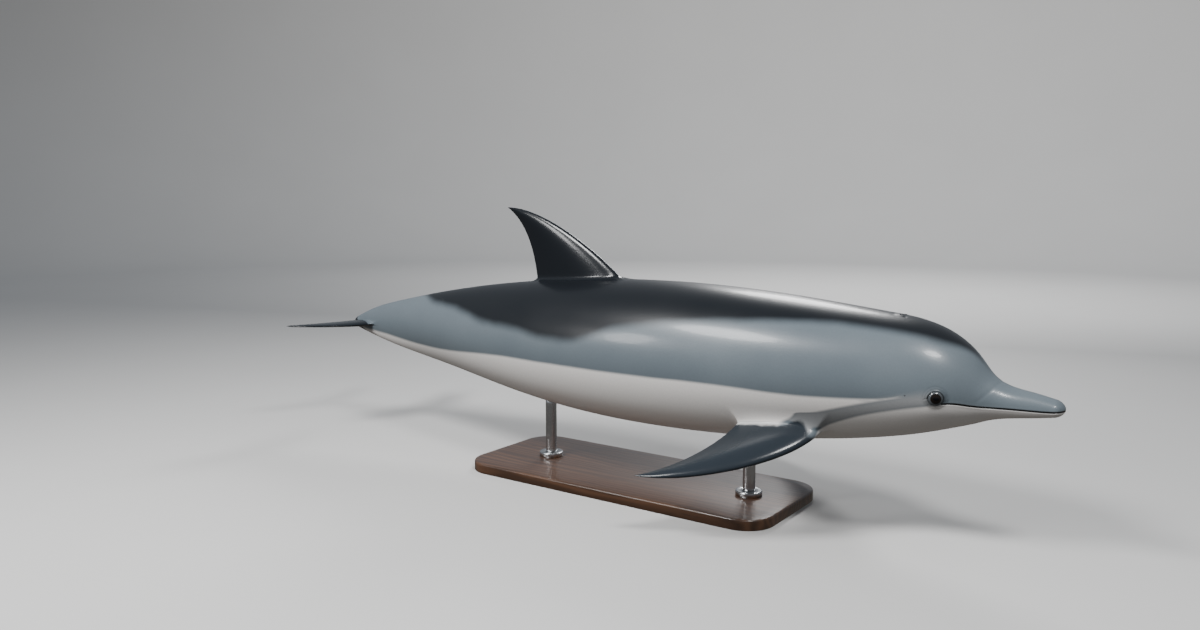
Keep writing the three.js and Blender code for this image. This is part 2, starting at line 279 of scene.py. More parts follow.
def half_angles(s):
    """Angles of the columns down one side, from the back to the belly, for each ring."""
    even = np.radians(np.linspace(90, -90, HALF_COLUMNS + 1))
    size = (top(s) - bottom(s)) / 2
    first = BUNDLE_MIDDLE - len(BUNDLE) // 2
    bundle = mouth_angle(s)[:, None] - BUNDLE / size[:, None]
    above = np.linspace(np.full(len(s), math.pi / 2), bundle[:, 0], first + 1, axis=1)
    rest = HALF_COLUMNS - first - len(BUNDLE) + 1
    below = np.linspace(bundle[:, -1], np.full(len(s), -math.pi / 2), rest + 1, axis=1)
    head = np.concatenate([above[:, :-1], bundle, below[:, 1:]], 1)
    back = ease((s - HEAD_END) / (TRUNK_START - HEAD_END))[:, None]
    return head * (1 - back) + even * back


PLACES = ring_places()
RINGS = len(PLACES)
HALF = half_angles(PLACES)
RIGHT, LEFT = math.pi - HALF, HALF[:, HALF_COLUMNS - 1 : 0 : -1]
ANGLES = np.concatenate([RIGHT, LEFT], 1)
print("rings:", RINGS, "columns:", COLUMNS)

# %% [markdown]
# ## Where the eye sits
# The eyes lie low on the sides of the head, on its widest line and just behind the corner of the mouth. The ball
# is 32 mm across, and its middle lies under the skin, so only a dome shows between the lids. Three directions
# are measured on the skin there: backwards along it, upwards along it and straight out. Everything round the eye
# is then drawn in the flat view those directions give.

# %% Eye's place
EYE_S = 209.0
EYE_RADIUS = 16.0  # the ball's, flattened to EYE_DEPTH
EYE_DEPTH = 13.0
EYE_SUNK = 6.5  # the ball's middle under the skin
LID_WIDE = 14.4  # half the opening between the corners
LID_HIGH = 13.5  # half the opening from lid to lid
CORNER_DRAWN, CORNER_TURN = 1.1, 0.32  # how far a corner is drawn out, and over what turn, in radians

eye_at = surface(EYE_S, 0.0)
eye_out = outward(EYE_S, 0.0)
eye_along = unit(surface(EYE_S + 1, 0.0) - surface(EYE_S - 1, 0.0))
eye_up = unit(np.cross(eye_along, eye_out))
eye_up = eye_up * np.sign(eye_up[2])
print("left eye:", to_frame(eye_at).round(4), "looks to", eye_out.round(2))


def eye_view(points):
    """How far behind and above the eye's middle a point lies, both in the plane of the eye's opening."""
    apart = np.where([False, True, False], np.abs(points), points) - eye_at
    return apart @ eye_along, apart @ eye_up


def opening(turn):
    """The opening's radius. The corners, at 0 and 180 degrees, are drawn out a little."""
    front, rear = turn / CORNER_TURN, (np.abs(turn) - math.pi) / CORNER_TURN
    corner = CORNER_DRAWN * (np.exp(-(front**2)) + np.exp(-(rear**2)))
    return np.hypot(LID_WIDE * np.cos(turn), LID_HIGH * np.sin(turn)) + corner


def ball_height(radius):
    """How far the eyeball stands out of the skin at that radius."""
    return EYE_DEPTH * np.sqrt(np.clip(1 - (radius / EYE_RADIUS) ** 2, 0, 1)) - EYE_SUNK


print("ball at the lids' edge:", ball_height(LID_HIGH).round(2), "mm out; at its middle:", ball_height(0.0))

# %% [markdown]
# ## Folds that make it an animal
# A bare spindle looks like a toy. The real head has a mouth that closes in a thin dark line with soft lips, a
# crease where the melon meets the beak, and lids and folds round the eye. Each is a small push in or out along
# the surface's own direction, given by the distance from its line. Sculpting would do it too, but a function of
# distance keeps both sides alike and can be tuned with one number.

# %% Fold functions
LID_RISE, LID_REACH = 1.9, 13.0  # how high the lids swell, and how far from the opening that starts
LID_FOLDS = [(3.6, 0.55, 0.35, 0.9), (7.5, 0.25, 0.3, 1.4)]  # away, depth, more depth above, width
FOLDS_END = 40.0  # beyond this radius the eye leaves the skin alone
LIP_DEPTH, LIP_WIDTH = 2.2, 1.1
BEAK_CREASE_S, BEAK_CREASE_LEVEL = 112.0, 16.0


def groove(distance, depth, width):
    """A soft furrow, in mm below the skin."""
    return -depth * np.exp(-((distance / width) ** 2))


def eye_folds(points):
    """Lids that rise to the ball, a fold round each lid and short creases from both corners."""
    back, up = eye_view(points)
    radius, turn = np.hypot(back, up), np.arctan2(up, back)
    apart = radius - opening(turn)
    upper = 0.5 + 0.5 * np.sin(turn)
    rise = LID_RISE * ease((LID_REACH - apart) / LID_REACH) ** 1.6
    lid_fold = sum(groove(apart - away, low + more * upper, wide) for away, low, more, wide in LID_FOLDS)
    level = up + 0.012 * back**2 * np.sign(back)
    corner = groove(level, 0.7, 1.0) * ease((26 - radius) / 8) * (np.abs(back) > 8)
    return np.where(radius < FOLDS_END, rise + lid_fold + corner, 0)


def head_folds(points):
    """How far the skin of the body is pushed out, in mm. Below 0 is in."""
    s, level = points[..., 0], points[..., 2]
    from_mouth = level - mouth_level(np.clip(s, 0, MOUTH_END))
    on_mouth = ease((MOUTH_END + 3 - s) / 6) * (0.35 + 0.65 * ease(s / 14))
    lips = groove(from_mouth, LIP_DEPTH, LIP_WIDTH) - groove(np.abs(from_mouth) - 2.6, 0.4, 1.6)
    crease_s = BEAK_CREASE_S + 0.92 * (BEAK_CREASE_LEVEL - level)
    on_crease = ease((level + 25) / 14) * ease((34 - level) / 10)
    crease = groove(s - crease_s, 0.45, 5.0) * on_crease
    near = 1 - ease((s - 262) / 8)
    return (lips * on_mouth + crease + eye_folds(points)) * near


on_line = np.array([100.0, 0.0, mouth_level(100.0)])
above_lid = eye_at + 15 * eye_up
print("mouth's groove:", head_folds(on_line).round(2), "mm | over the lid:", eye_folds(above_lid).round(2))

# %% [markdown]
# ## Collecting the mesh
# The net is kept as plain arrays until it is whole. A hole is cut in it wherever something else has to start: the
# eye, the blowhole or the root of a fin. Loops of points then lead from the hole's edge into that feature, so
# edge loops run round it as a modeller would lay them. The right side's loops are mirrored for the left.

# %% Points, faces and holes
numbers = 1 + np.arange(RINGS * COLUMNS).reshape(RINGS, COLUMNS)
closed = np.ones((RINGS - 1, COLUMNS), bool)
points = [np.array([[0, 0, side(0.0)]])]
angles_at = np.broadcast_to(ANGLES, (RINGS, COLUMNS))
net = surface(PLACES[:, None], angles_at)
net_out = outward(PLACES[:, None], angles_at)
net = net + net_out * head_folds(net)[..., None]
points.append(net.reshape(-1, 3))
points.append(np.array([[BODY_LENGTH, 0, side(BODY_LENGTH)]]))
kinds = [np.zeros(RINGS * COLUMNS + 2)]  # 0 body, 1 back fin, 2 flipper, 3 fluke, 4 eye rim, 5 blowhole
grown = [np.zeros(RINGS * COLUMNS + 2)]  # mm beyond a fin's root, or how deep in an eye's rim or the blowhole
chords = [np.zeros(RINGS * COLUMNS + 2)]  # 0 at a fin's leading edge and 1 at its trailing edge
faces = []


def count():
    """How many points there are so far."""
    return sum(len(p) for p in points)


def cut(s_from, s_to, column_from, column_to, both=True):
    """Opens a hole and returns its border as (ring, column) pairs, in order."""
    first, last = (int(np.argmin(np.abs(PLACES - s))) for s in (s_from, s_to))
    for column in range(column_from, column_to):
        closed[first:last, column % COLUMNS] = False
        if both:
            closed[first:last, (-1 - column) % COLUMNS] = False
    border = [(first, c) for c in range(column_from, column_to)]
    border += [(r, column_to) for r in range(first, last)]
    border += [(last, c) for c in range(column_to, column_from, -1)]
    border += [(r, column_from) for r in range(last, first, -1)]
    return border


def add_loops(border, loops, end, kind, growth, both=True, chord=0.0):
    """Joins the border to the loops one after another and closes the last with a point."""
    loops, growth = np.asarray(loops, float), np.asarray(growth, float)
    size = loops.shape[1]
    chord = np.broadcast_to(chord, growth.shape)
    for mirror in (False, True) if both else (False,):
        flip = np.array([1, -1 if mirror else 1, 1])
        edge = [numbers[r, (-c if mirror else c) % COLUMNS] for r, c in border]
        start = count()
        points.append(loops.reshape(-1, 3) * flip)
        points.append(np.asarray(end, float)[None] * flip)
        kinds.append(np.full(loops.shape[0] * size + 1, float(kind)))
        grown.append(np.append(growth.ravel(), growth[-1].mean()))
        chords.append(np.append(chord.ravel(), 0.5))
        rows = np.vstack([edge, start + np.arange(loops.shape[0] * size).reshape(-1, size)])
        near, far = rows[:-1], rows[1:]
        quads = np.stack([near, np.roll(near, -1, 1), np.roll(far, -1, 1), far], -1).reshape(-1, 4)
        faces.extend(quads.tolist())
        tip = start + loops.shape[0] * size
        faces.extend([[a, b, tip] for a, b in zip(rows[-1], np.roll(rows[-1], -1))])


print("net points:", count())

# %% [markdown]
# ## Eyes: lids round the ball
# The hole in front of each eye narrows loop by loop to the opening between the lids. The last loops turn over
# the lids' edge and run down behind the ball, so that the skin hugs it and no gap shows.

# %% Loops round the eye
EYE_LOOPS = 17
eye_border = cut(182, 240, 24, 51)
border_s = PLACES[[r for r, c in eye_border]]
border_a = np.array([HALF[r, c] for r, c in eye_border])
back, up = eye_view(surface(border_s, border_a))
turn = np.arctan2(up, back)
entry = [i for i, (r, c) in enumerate(eye_border) if c == BUNDLE_MIDDLE][0]
mouth_back, mouth_up = eye_view(surface(MOUTH_END, mouth_angle(MOUTH_END)))
off = (turn - turn[entry] + math.pi) % (2 * math.pi) - math.pi
turn = turn + (np.arctan2(mouth_up, mouth_back) - turn[entry]) * np.exp(-((off / 0.6) ** 2))
lid = opening((turn + math.pi) % (2 * math.pi) - math.pi)

stretch_s = np.linalg.norm(surface(EYE_S + 0.5, 0.0) - surface(EYE_S - 0.5, 0.0))
stretch_a = np.linalg.norm(surface(EYE_S, 0.01) - surface(EYE_S, -0.01)) / 0.02
lid_s, lid_a = lid * np.cos(turn) / stretch_s, lid * np.sin(turn) / stretch_a
for _ in range(3):
    reached = np.hypot(*eye_view(surface(EYE_S + lid_s, lid_a)))
    lid_s, lid_a = lid_s * lid / reached, lid_a * lid / reached

shares = 1 - (1 - np.arange(1, EYE_LOOPS + 1) / EYE_LOOPS) ** 1.4
loops = []
for share in shares:
    s = border_s * (1 - share) + (EYE_S + lid_s) * share
    angle = border_a * (1 - share) + lid_a * share
    flat = surface(s, angle)
    loops.append(flat + outward(s, angle) * head_folds(flat)[:, None])
rim = (loops[-1] - eye_at) @ eye_out
LID_EDGE = [(0.45, 0.2), (0.8, 0.8), (0.7, 1.7)]  # inwards from the opening, down from the lid
SOCKET = [(-0.6, -4.0), (2.0, -12.0)]  # inwards from the opening, level under the skin
turned_over = [(inward, rim - down) for inward, down in LID_EDGE]
turned_over += [(inward, np.full(len(rim), level)) for inward, level in SOCKET]
for inward, height in turned_over:
    across = (lid - inward)[:, None] * (np.cos(turn)[:, None] * eye_along + np.sin(turn)[:, None] * eye_up)
    loops.append(eye_at + across + height[:, None] * eye_out)
growth = np.repeat(np.concatenate([np.zeros(EYE_LOOPS), [0.1, 0.4, 0.8, 1, 1]])[:, None], len(rim), 1)
RIGHT_SIDE = np.array([1, -1, 1])
add_loops(eye_border, np.array(loops) * RIGHT_SIDE, (eye_at - 19 * eye_out) * RIGHT_SIDE, 4, growth)
print("eye loops:", len(loops), "of", len(rim), "points")
print("lids stand", rim.min().round(2), "to", rim.max().round(2), "mm out")

# %% [markdown]
# ## Blowhole
# A dolphin breathes through a crescent slit on top of its head. It lies across the middle line, with its horns
# towards the beak, and a low soft lip runs round it. The same kind of loops narrow to the crescent and then go
# down into it, so the slit is a real opening and not a dark line painted on.

# %% Loops round the blowhole
BLOW_S, BLOW_RADIUS = 313.0, 13.0
BLOW_SPAN = math.radians(72)
BLOW_HALF = 1.3
blow_border = cut(286, 340, -5, 5, both=False)
blow_s = PLACES[[r for r, c in blow_border]]
blow_a = np.array([ANGLES[r, c % COLUMNS] for r, c in blow_border])
edge = surface(blow_s, blow_a)
beta = np.arctan2(edge[:, 0] - (BLOW_S - 4), edge[:, 1])


def crescent(wide):
    """The slit's outline, wide times its own width."""
    swing = BLOW_SPAN * np.cos(beta)
    radius = BLOW_RADIUS + BLOW_HALF * wide * np.sin(beta)
    s = BLOW_S - BLOW_RADIUS + radius * np.cos(swing)
    out = radius * np.sin(swing)
    cosine = np.sign(out) * (np.abs(out) / half(s)) ** (1 / ridge(s))
    return s, np.arccos(cosine)


slit_s, slit_a = crescent(1.0)
loops = []
for share in 1 - (1 - np.arange(1, 11) / 10) ** 1.5:
    s, angle = blow_s * (1 - share) + slit_s * share, blow_a * (1 - share) + slit_a * share
    lift = 1.1 * share**3 - 0.5 * np.exp(-(((share - 0.62) / 0.12) ** 2))
    loops.append(surface(s, angle) + outward(s, angle) * lift)
for wide, down in [(0.75, 0.5), (0.5, 2.0), (0.4, 5.0), (0.3, 7.0)]:
    s, angle = crescent(wide)
    loops.append(surface(s, angle) + outward(s, angle) * (1.1 - down))
growth = np.repeat(np.concatenate([np.zeros(9), [0.3, 0.7, 1, 1, 1]])[:, None], len(beta), 1)
blow_floor = surface(BLOW_S, math.pi / 2) - [0, 0, 7]
add_loops(blow_border, loops, blow_floor, 5, growth, both=False)
print("blowhole loops of", len(beta), "points at", to_frame(surface(BLOW_S, math.pi / 2)).round(4))

# %% [markdown]
# ## Fins that grow out of the skin
# The back fin, flippers and flukes are thin wings with a streamlined section: thickest a third of the way back
# and thin at the trailing edge. Two cubic Bezier curves, the leading and the trailing edge, meet at the tip. On
# the real animal the skin flares softly into each root, so every border point runs along a small curve, first
# in the body's own direction and then in the fin's.

# %% Wing sections
DORSAL_FIN = {
    "leading": [[970, 0, 146], [1040, 0, 217], [1224, 0, 327], [1336, 0, 323]],
    "trailing": [[1238, 0, 122], [1243, 0, 193], [1265, 0, 283], [1336, 0, 323]],
    "thick": (36, 6),
}
FLIPPER = {
    "leading": [[430, 78, -94], [418, 186, -151], [629, 316, -201], [735, 325, -197]],
    "trailing": [[600, 100, -92], [596, 182, -134], [659, 280, -180], [735, 325, -197]],
    "thick": (38, 4.5),
}
FLUKE = {
    "leading": [[1826, 5, -18], [1850, 70, -17], [1862, 158, -13], [1966, 214, -12]],
    "trailing": [[1921, 4, -16], [1940, 60, -17], [1958, 140, -14], [1966, 214, -12]],
    "thick": (18, 4),
}
EDGE = 0.8  # thickness of a fin's trailing edge
FOIL_PEAK = 2.598  # makes the highest value of sqrt(a) * (1 - a) equal to 1


def bezier(controls, share):
    """A point of the cubic curve with these four controls."""
    a, b, c, d = (np.array(p, float) for p in controls)
    t = np.asarray(share, float)[..., None]
    return a * (1 - t) ** 3 + 3 * b * t * (1 - t) ** 2 + 3 * c * t**2 * (1 - t) + d * t**3


def bezier_way(controls, share):
    """The curve's direction there."""
    a, b, c, d = (np.array(p, float) for p in controls)
    t = np.asarray(share, float)[..., None]
    return unit(3 * (b - a) * (1 - t) ** 2 + 6 * (c - b) * t * (1 - t) + 3 * (d - c) * t**2)


def wing(fin, share, turn):
    """A point of the fin's skin. The turn is 0 at the leading and 180 degrees at the trailing edge."""
    share, turn = np.broadcast_arrays(np.asarray(share, float), np.asarray(turn, float))
    nose, tail = bezier(fin["leading"], share), bezier(fin["trailing"], share)
    chord = tail - nose
    way = bezier_way(fin["leading"], share) + bezier_way(fin["trailing"], share)
    up = unit(np.cross(chord, way))
    thick = fin["thick"][0] * (1 - share) + fin["thick"][1] * share
    thick = np.minimum(thick, 0.3 * np.linalg.norm(chord, axis=-1) + 0.3)
    along = (1 - np.cos(turn)) / 2
    foil = thick / 2 * FOIL_PEAK * np.sqrt(along) * (1 - along) + EDGE / 2 * along
    height = np.sign(np.sin(turn)) * foil
    return nose + chord * along[..., None] + up * height[..., None]


fin_point = to_frame(wing(DORSAL_FIN, 1.0, 0.0))
print("back fin's tip:", fin_point.round(3), "| flukes span", 2 * FLUKE["leading"][3][1], "mm")

# %% [markdown]
# ## From the hole to the fin's tip
# Each border point needs a partner on the fin, with no twist between them. The fin's own outline is followed
# until it leaves the body, the nearest turn is found for every border point, and the turns are smoothed so that
# the loops stay evenly spread. The fillet is a curve of three control points, which leaves the body along the
# skin and arrives at the fin along its side. A union of two solids would leave a hard seam here instead.

# %% Growing a fin
TURNS = np.radians(np.arange(0, 360, 1.0))
ROOT_SEARCH = np.linspace(0, 0.6, 241)  # shares of a fin's length in which it leaves the body


def grow_fin(name, fin, border, rise, rings, kind, both=True, fillet=8):
    """Leads the skin from the hole's border into the fin and out to its tip."""
    side_sign = RIGHT_SIDE if both else 1
    ring, column = np.array(border).T
    border_angle = ANGLES[ring, column % COLUMNS]
    start = surface(PLACES[ring], border_angle) * side_sign
    start_out = outward(PLACES[ring], border_angle) * side_sign
    gone = outside(wing(fin, ROOT_SEARCH[:, None], TURNS[None])) > 0
    root_share = ROOT_SEARCH[np.argmax(gone, 0)]
    root = wing(fin, root_share, TURNS)
    near = np.argmin(np.linalg.norm(start[:, None] - root[None], axis=-1), 1)
    turn = np.unwrap(TURNS[near])
    way = np.sign(turn[-1] - turn[0])
    even = way * 2 * math.pi * np.arange(len(turn)) / len(turn)
    wave = turn - even
    for _ in range(10):
        wave = (np.roll(wave, 1) + 2 * wave + np.roll(wave, -1)) / 4
    turn = wave + even
    first = np.interp(turn, TURNS, root_share, period=2 * math.pi)
    for _ in range(6):
        first = (np.roll(first, 1) + 2 * first + np.roll(first, -1)) / 4
    foot = wing(fin, first, turn)
    foot = foot + start_out * ((start - foot) * start_out).sum(-1, keepdims=True)
    length = np.linalg.norm(bezier(fin["leading"], 1.0) - bezier(fin["leading"], 0.0))
    free = first + rise / length
    lift = wing(fin, free, turn)
    loops, growth = [], []
    flare = np.linalg.norm(foot - start, axis=1)
    for t in np.arange(1, fillet + 1) / fillet:
        loops.append((1 - t) ** 2 * start + 2 * t * (1 - t) * foot + t**2 * lift)
        growth.append(rise * t**2 - flare * (1 - t) ** 2)
    for t in np.sin(np.arange(1, rings + 1) / rings * math.pi / 2):
        share = free + (0.9985 - free) * t
        loops.append(wing(fin, share, turn))
        growth.append((share - first) * length)
    tip = bezier(fin["leading"], 1.0) * side_sign
    add_loops(border, np.array(loops) * side_sign, tip, kind, growth, both, (1 - np.cos(turn)) / 2)
    apart = np.diff(np.sort(turn % (2 * math.pi)))
    print(name, "loops:", len(loops), "of", len(turn), "| closest turns:", np.degrees(apart.min()).round(2))


# %% [markdown]
# ## Back fin, flippers and flukes
# The back fin stands on the middle line, so it is grown once. The flippers and the flukes come in pairs: the
# right one is worked out and the left one is its mirror image. The root of each fluke is a smaller fillet,
# because the tail stock there is only a hand's breadth high.

# %% Back fin, flippers and flukes
grow_fin("back fin", DORSAL_FIN, cut(958, 1258, -4, 4, both=False), 16, 40, 1, both=False)
grow_fin("flippers", FLIPPER, cut(408, 622, 46, 56), 16, 40, 2)
grow_fin("flukes", FLUKE, cut(1806, 1924.9, 32, 40), 9, 34, 3)

# %% [markdown]
# ## The whole skin as one mesh
# What is left of the net, the loops and the two end points make one closed mesh. `from_pydata` builds it, and
# `recalc_face_normals` turns every face outwards, which is simpler than keeping the order right by hand.

# %% Skin mesh
import bmesh

for i, j in zip(*np.nonzero(closed)):
    k = (j + 1) % COLUMNS
    faces.append([numbers[i, j], numbers[i, k], numbers[i + 1, k], numbers[i + 1, j]])
tail_point = 1 + RINGS * COLUMNS
for j in range(COLUMNS):
    k = (j + 1) % COLUMNS
    faces.append([0, numbers[0, j], numbers[0, k]])
    faces.append([tail_point, numbers[-1, k], numbers[-1, j]])
all_points = np.concatenate(points)
all_kinds, all_grown, all_chords = (np.concatenate(a) for a in (kinds, grown, chords))
used = np.zeros(len(all_points), bool)
used[np.unique(np.concatenate([np.ravel(f) for f in faces]).astype(int))] = True
renumber = np.cumsum(used) - 1
skin_points, kind, growth, chord = (a[used] for a in (all_points, all_kinds, all_grown, all_chords))
skin_mesh = bpy.data.meshes.new("dolphin_skin")
skin_mesh.from_pydata(to_frame(skin_points).tolist(), [], [[int(renumber[v]) for v in f] for f in faces])
shell = bmesh.new()
shell.from_mesh(skin_mesh)
bmesh.ops.recalc_face_normals(shell, faces=shell.faces)
open_edges = sum(not e.is_manifold for e in shell.edges)
volume = shell.calc_volume(signed=True)
shell.to_mesh(skin_mesh)
shell.free()
if volume < 0:
    skin_mesh.flip_normals()
skin_mesh.shade_smooth()
skin = new_object("dolphin_skin", skin_mesh)
triangles = sum(len(p.vertices) - 2 for p in skin_mesh.polygons)
print("skin:", len(skin_mesh.vertices), "points,", triangles, "triangles")
print("open edges:", open_edges, "| volume:", round(abs(volume) * 1000, 1), "litres")

# %% [markdown]
# ## One skin in place of many solids
# The solids name the animal's parts: beak, jaw, head, trunk, tail stock and fins. A living animal shows no joints
# between them, so the one skin takes the place of them all. It rides on the root, because nothing here moves.

# %% Ride and replace
FLESH = ["upper_beak", "lower_jaw", "head", "trunk", "tail_stock", "dorsal_fin"]
FLESH += ["flipper_left", "flipper_right", "fluke_left", "fluke_right"]
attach(skin, "root")
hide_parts(*FLESH)
print("the skin replaces", len(FLESH), "solids")

# %% [markdown]
# ## Where the colours meet
# A Clymene dolphin wears three coats: a near-black cape that dips in a V under the back fin, grey flanks and a
# white belly, with a grey band from the eye to the flipper. Each edge is a line of a few named points round the
# body. The mesh stores how far every point lies from each line, in millimetres, and the material turns that
# distance into a soft edge later. Painting an image would fix the sharpness for good; a distance doesn't.

# %% Lines between the colours, as (behind the tip, degrees above the widest line)
CAPE_EDGE = [
    # over the head
    (100, 125), (132, 104), (154, 86), (182, 70), (210, 61), (274, 56), (341, 56),
    # down the shoulder to the V under the fin
    (446, 53), (568, 46), (698, 39), (845, 30), (918, 25), (993, 15), (1052, 11),
    # and up again to the tail stock
    (1127, 12), (1231, 17), (1344, 21), (1481, 39), (1607, 65), (1660, 100),
]
BELLY_EDGE = [
    # from the eye to the flipper
    (200, 10), (262, -2), (292, -7), (329, -9.3), (402, -10.6), (479, -11),
    # along the flank
    (559, -9.6), (677, -8), (795, -8.4), (949, -9), (1127, -10), (1341, -15),
    # and down to the flukes
    (1608, -31), (1841, -33), (1925, -38),
]
BAND_TOP = [(190, 8), (224, 3), (292, -7), (353, -15), (424, -24), (500, -34), (560, -46)]
BAND_FOOT = [(222, -13), (290, -21), (355, -29), (420, -41), (480, -53), (560, -66)]


def line_of(rows):
    """The line as a function of the place behind the tip."""
    rows = np.array(rows, float)
    return spline(rows[:, 0], rows[:, 1])


def body_angle(points):
    """Degrees above the widest line, the same on both sides."""
    s = np.clip(points[:, 0], 1.0, BODY_LENGTH - 1.0)
    above = points[:, 2] > side(s)
    reach = np.where(above, top(s) - side(s), side(s) - bottom(s)) * closing(s)
    across = (np.abs(points[:, 1]) / (half(s) * closing(s))) ** (1 / ridge(s))
    return np.degrees(np.arctan2((points[:, 2] - side(s)) / reach, across))


FAR = 60.0  # mm: so far from a line that its edge no longer matters
CAPE_START = 100.0  # the beak in front of this has no cape
BAND_START, BAND_END = 214.0, 505.0
WEDGE_START, WEDGE_SLOPE = 292.0, 0.14  # where the white wedge above the band begins, and how fast it opens
CHEST_S = 560.0  # throat and band end here, at the flipper

s = skin_points[:, 0]
degrees = body_angle(skin_points)
girth = np.radians((top(s) - bottom(s) + 2 * half(s)) / 4)  # mm for each degree round the body
cape = (degrees - line_of(CAPE_EDGE)(s)) * girth
cape = np.where(s < CAPE_START, -FAR, cape)
below_flank = (line_of(BELLY_EDGE)(s) - degrees) * girth
above_band = (degrees - line_of(BAND_TOP)(s)) * girth
below_band = (line_of(BAND_FOOT)(s) - degrees) * girth
wedge = np.minimum(np.minimum(below_flank, above_band), (s - WEDGE_START) * WEDGE_SLOPE)
jaw_foot = np.degrees(mouth_angle(s))
to_band = ease((s - 196) / 34)
throat = ((1 - to_band) * jaw_foot + to_band * line_of(BAND_FOOT)(s) - degrees) * girth
throat = np.where(s < CHEST_S, throat, -FAR)
belly = np.maximum(np.where(s > CHEST_S, below_flank, wedge), throat)
band = np.minimum(-above_band, -below_band)
band = np.minimum(band, np.minimum((s - BAND_START) * 0.8, BAND_END - s))
print("points in the cape:", int((cape > 0).sum()), "in the belly:", int((belly > 0).sum()))

# %% [markdown]
# ## Marks of the fins, mouth, lids and slits
# The fins are dark all over but for a pale patch at each root. On the flippers that patch is partly real pale
# skin and partly a painted highlight on the upward-facing root, and its slow fade down the blade is painted
# shade. The lips meet in a dark line, the lids' edges are dark and wet, and the belly's middle line has the navel
# and two slits. Each is again a distance, measured from the feature that was just modelled, so the colour can't
# slip off its shape.

# %% Fins, mouth, lids, blowhole and the belly's slits
FIN_DARK_FROM = -24  # mm of growth: the back fin's dark colour begins on the skin round its root
# The flipper's pale root patch is partly real pale skin and partly a painted highlight on the upward-facing root.
PALE_REAR, PALE_FRONT = 26, 40  # mm: how far the flipper's pale patch reaches at the rear and in front
PALE_NONE = 5  # mm: between them the dark colour runs this far onto the body
PALE_REAR_FROM, PALE_FRONT_TO, PALE_SOFT = 0.24, 0.22, 0.20  # shares of the chord
# The slow fade is painted shade: pale at the lit root and darker further down the flipper.
FLIPPER_SOFT = 0.45  # below 1 the pale patch fades more slowly
FLUKE_LEVEL, FLUKE_PALE, FLUKE_PALE_TO = -17, 16, 0.75  # the patch is on the upper side, up to this chord
# Below FLUKE_LEVEL the dark starts 8 mm before the flukes' roots: painted shade under the tail.
FLUKE_UNDER_SHADE = -8
# On the underside the dark starts further forward than on top, 1852 against 1912 mm: painted shade under the tail
# stock.
STOCK_END_AND_UNDER_SHADE = [(-90, 1852), (-25, 1888), (30, 1906), (90, 1912)]  # degrees, and where the dark flukes begin
BAND_ON_ROOT = 14  # mm: how surely the band and not the belly covers the flipper's front root
SLITS = [(958, 970), (1236, 1316), (1344, 1352)]  # navel, genital slit and vent, on the belly's middle line
UNDERSIDE = -60  # degrees: only below this is a slit looked for
NEAR_EYE = 260  # behind this a point is no longer near the lids
on_fin, on_flipper, on_fluke = kind == 1, kind == 2, kind == 3
# Pale patch at the flippers' roots: partly real pale skin, partly a painted highlight that fades into painted
# shade.
pale_rear = PALE_REAR * ease((chord - PALE_REAR_FROM) / PALE_SOFT)
pale_front = PALE_FRONT * ease((PALE_FRONT_TO - chord) / PALE_SOFT)
pale_and_lit_root = pale_rear + pale_front - PALE_NONE
dark = np.full(len(s), -FAR)
dark[on_fin] = (growth - FIN_DARK_FROM)[on_fin]
dark[on_flipper] = FLIPPER_SOFT * (growth - pale_and_lit_root)[on_flipper]
over = skin_points[:, 2] > FLUKE_LEVEL
pale_fluke = np.where(over, FLUKE_PALE * (1 - ease(chord / FLUKE_PALE_TO)), FLUKE_UNDER_SHADE)
dark[on_fluke] = (growth - pale_fluke)[on_fluke]
# The flukes' dark reaches further forward under the stock than on top, which is painted shade.
stock_end_and_under_shade = np.interp(degrees, *zip(*STOCK_END_AND_UNDER_SHADE))
dark = np.where(kind == 0, np.maximum(dark, s - stock_end_and_under_shade), dark)
cape[on_fluke | on_flipper] = np.minimum(cape, -20)[on_fluke | on_flipper]
upper_root = ease((growth + 4) / 8) * on_flipper
belly = np.where(on_flipper, np.minimum(belly, 40 - 39.6 * upper_root), belly)
band = np.where(on_flipper, band - 30 * upper_root, band)
root_band = ease((chord - 0.03) / 0.08) * (1 - ease((chord - 0.20) / 0.16)) * on_flipper
belly = belly * (1 - root_band) - BAND_ON_ROOT * root_band
band = band * (1 - root_band) + BAND_ON_ROOT * root_band
slate = np.where(on_flipper, 1.0, np.where(on_fluke, 0.35, 0.0))
back, up = eye_view(skin_points)
from_lid = np.hypot(back, up) - opening(np.arctan2(up, back))
on_rim = np.where(growth > 0, -growth * 3, from_lid)
from_lid = np.where(kind == 4, on_rim, np.where(s < NEAR_EYE, from_lid, FAR))
from_mouth = np.abs(skin_points[:, 2] - mouth_level(np.clip(s, 0, MOUTH_END)))
from_mouth = np.where(s < MOUTH_END + 1, from_mouth, FAR)
in_blowhole = np.where(kind == 5, growth, 0)
from_slit = np.full(len(s), FAR)
for slit_from, slit_to in SLITS:
    beyond = np.maximum(np.maximum(slit_from - s, s - slit_to), 0)
    from_slit = np.minimum(from_slit, np.hypot(skin_points[:, 1], beyond))
from_slit = np.where((kind == 0) & (degrees < UNDERSIDE), from_slit, FAR)
MARKS = {"cape": cape, "belly": belly, "band": band, "dark": dark, "slate": slate}
MARKS |= {"lid": np.clip(from_lid, -5, FAR), "mouth": np.clip(from_mouth, 0, FAR)}
MARKS |= {"blowhole": in_blowhole, "slit": from_slit}
for name, values in MARKS.items():
    store = skin_mesh.attributes.new(name, "FLOAT", "POINT")
    store.data.foreach_set("value", np.asarray(values, np.float32))
print("marks:", {name: [round(float(v.min())), round(float(v.max()))] for name, v in MARKS.items()})

# %% [markdown]
# ## Node groups that several materials share
# A shader node group is a small machine with named inputs and outputs. Three are enough: one turns a distance
# into a soft, slightly wandering edge, one gives a cloudy unevenness, and one draws thin lines such as scratches.
# The shaders themselves stay in the materials.

# %% Node helpers


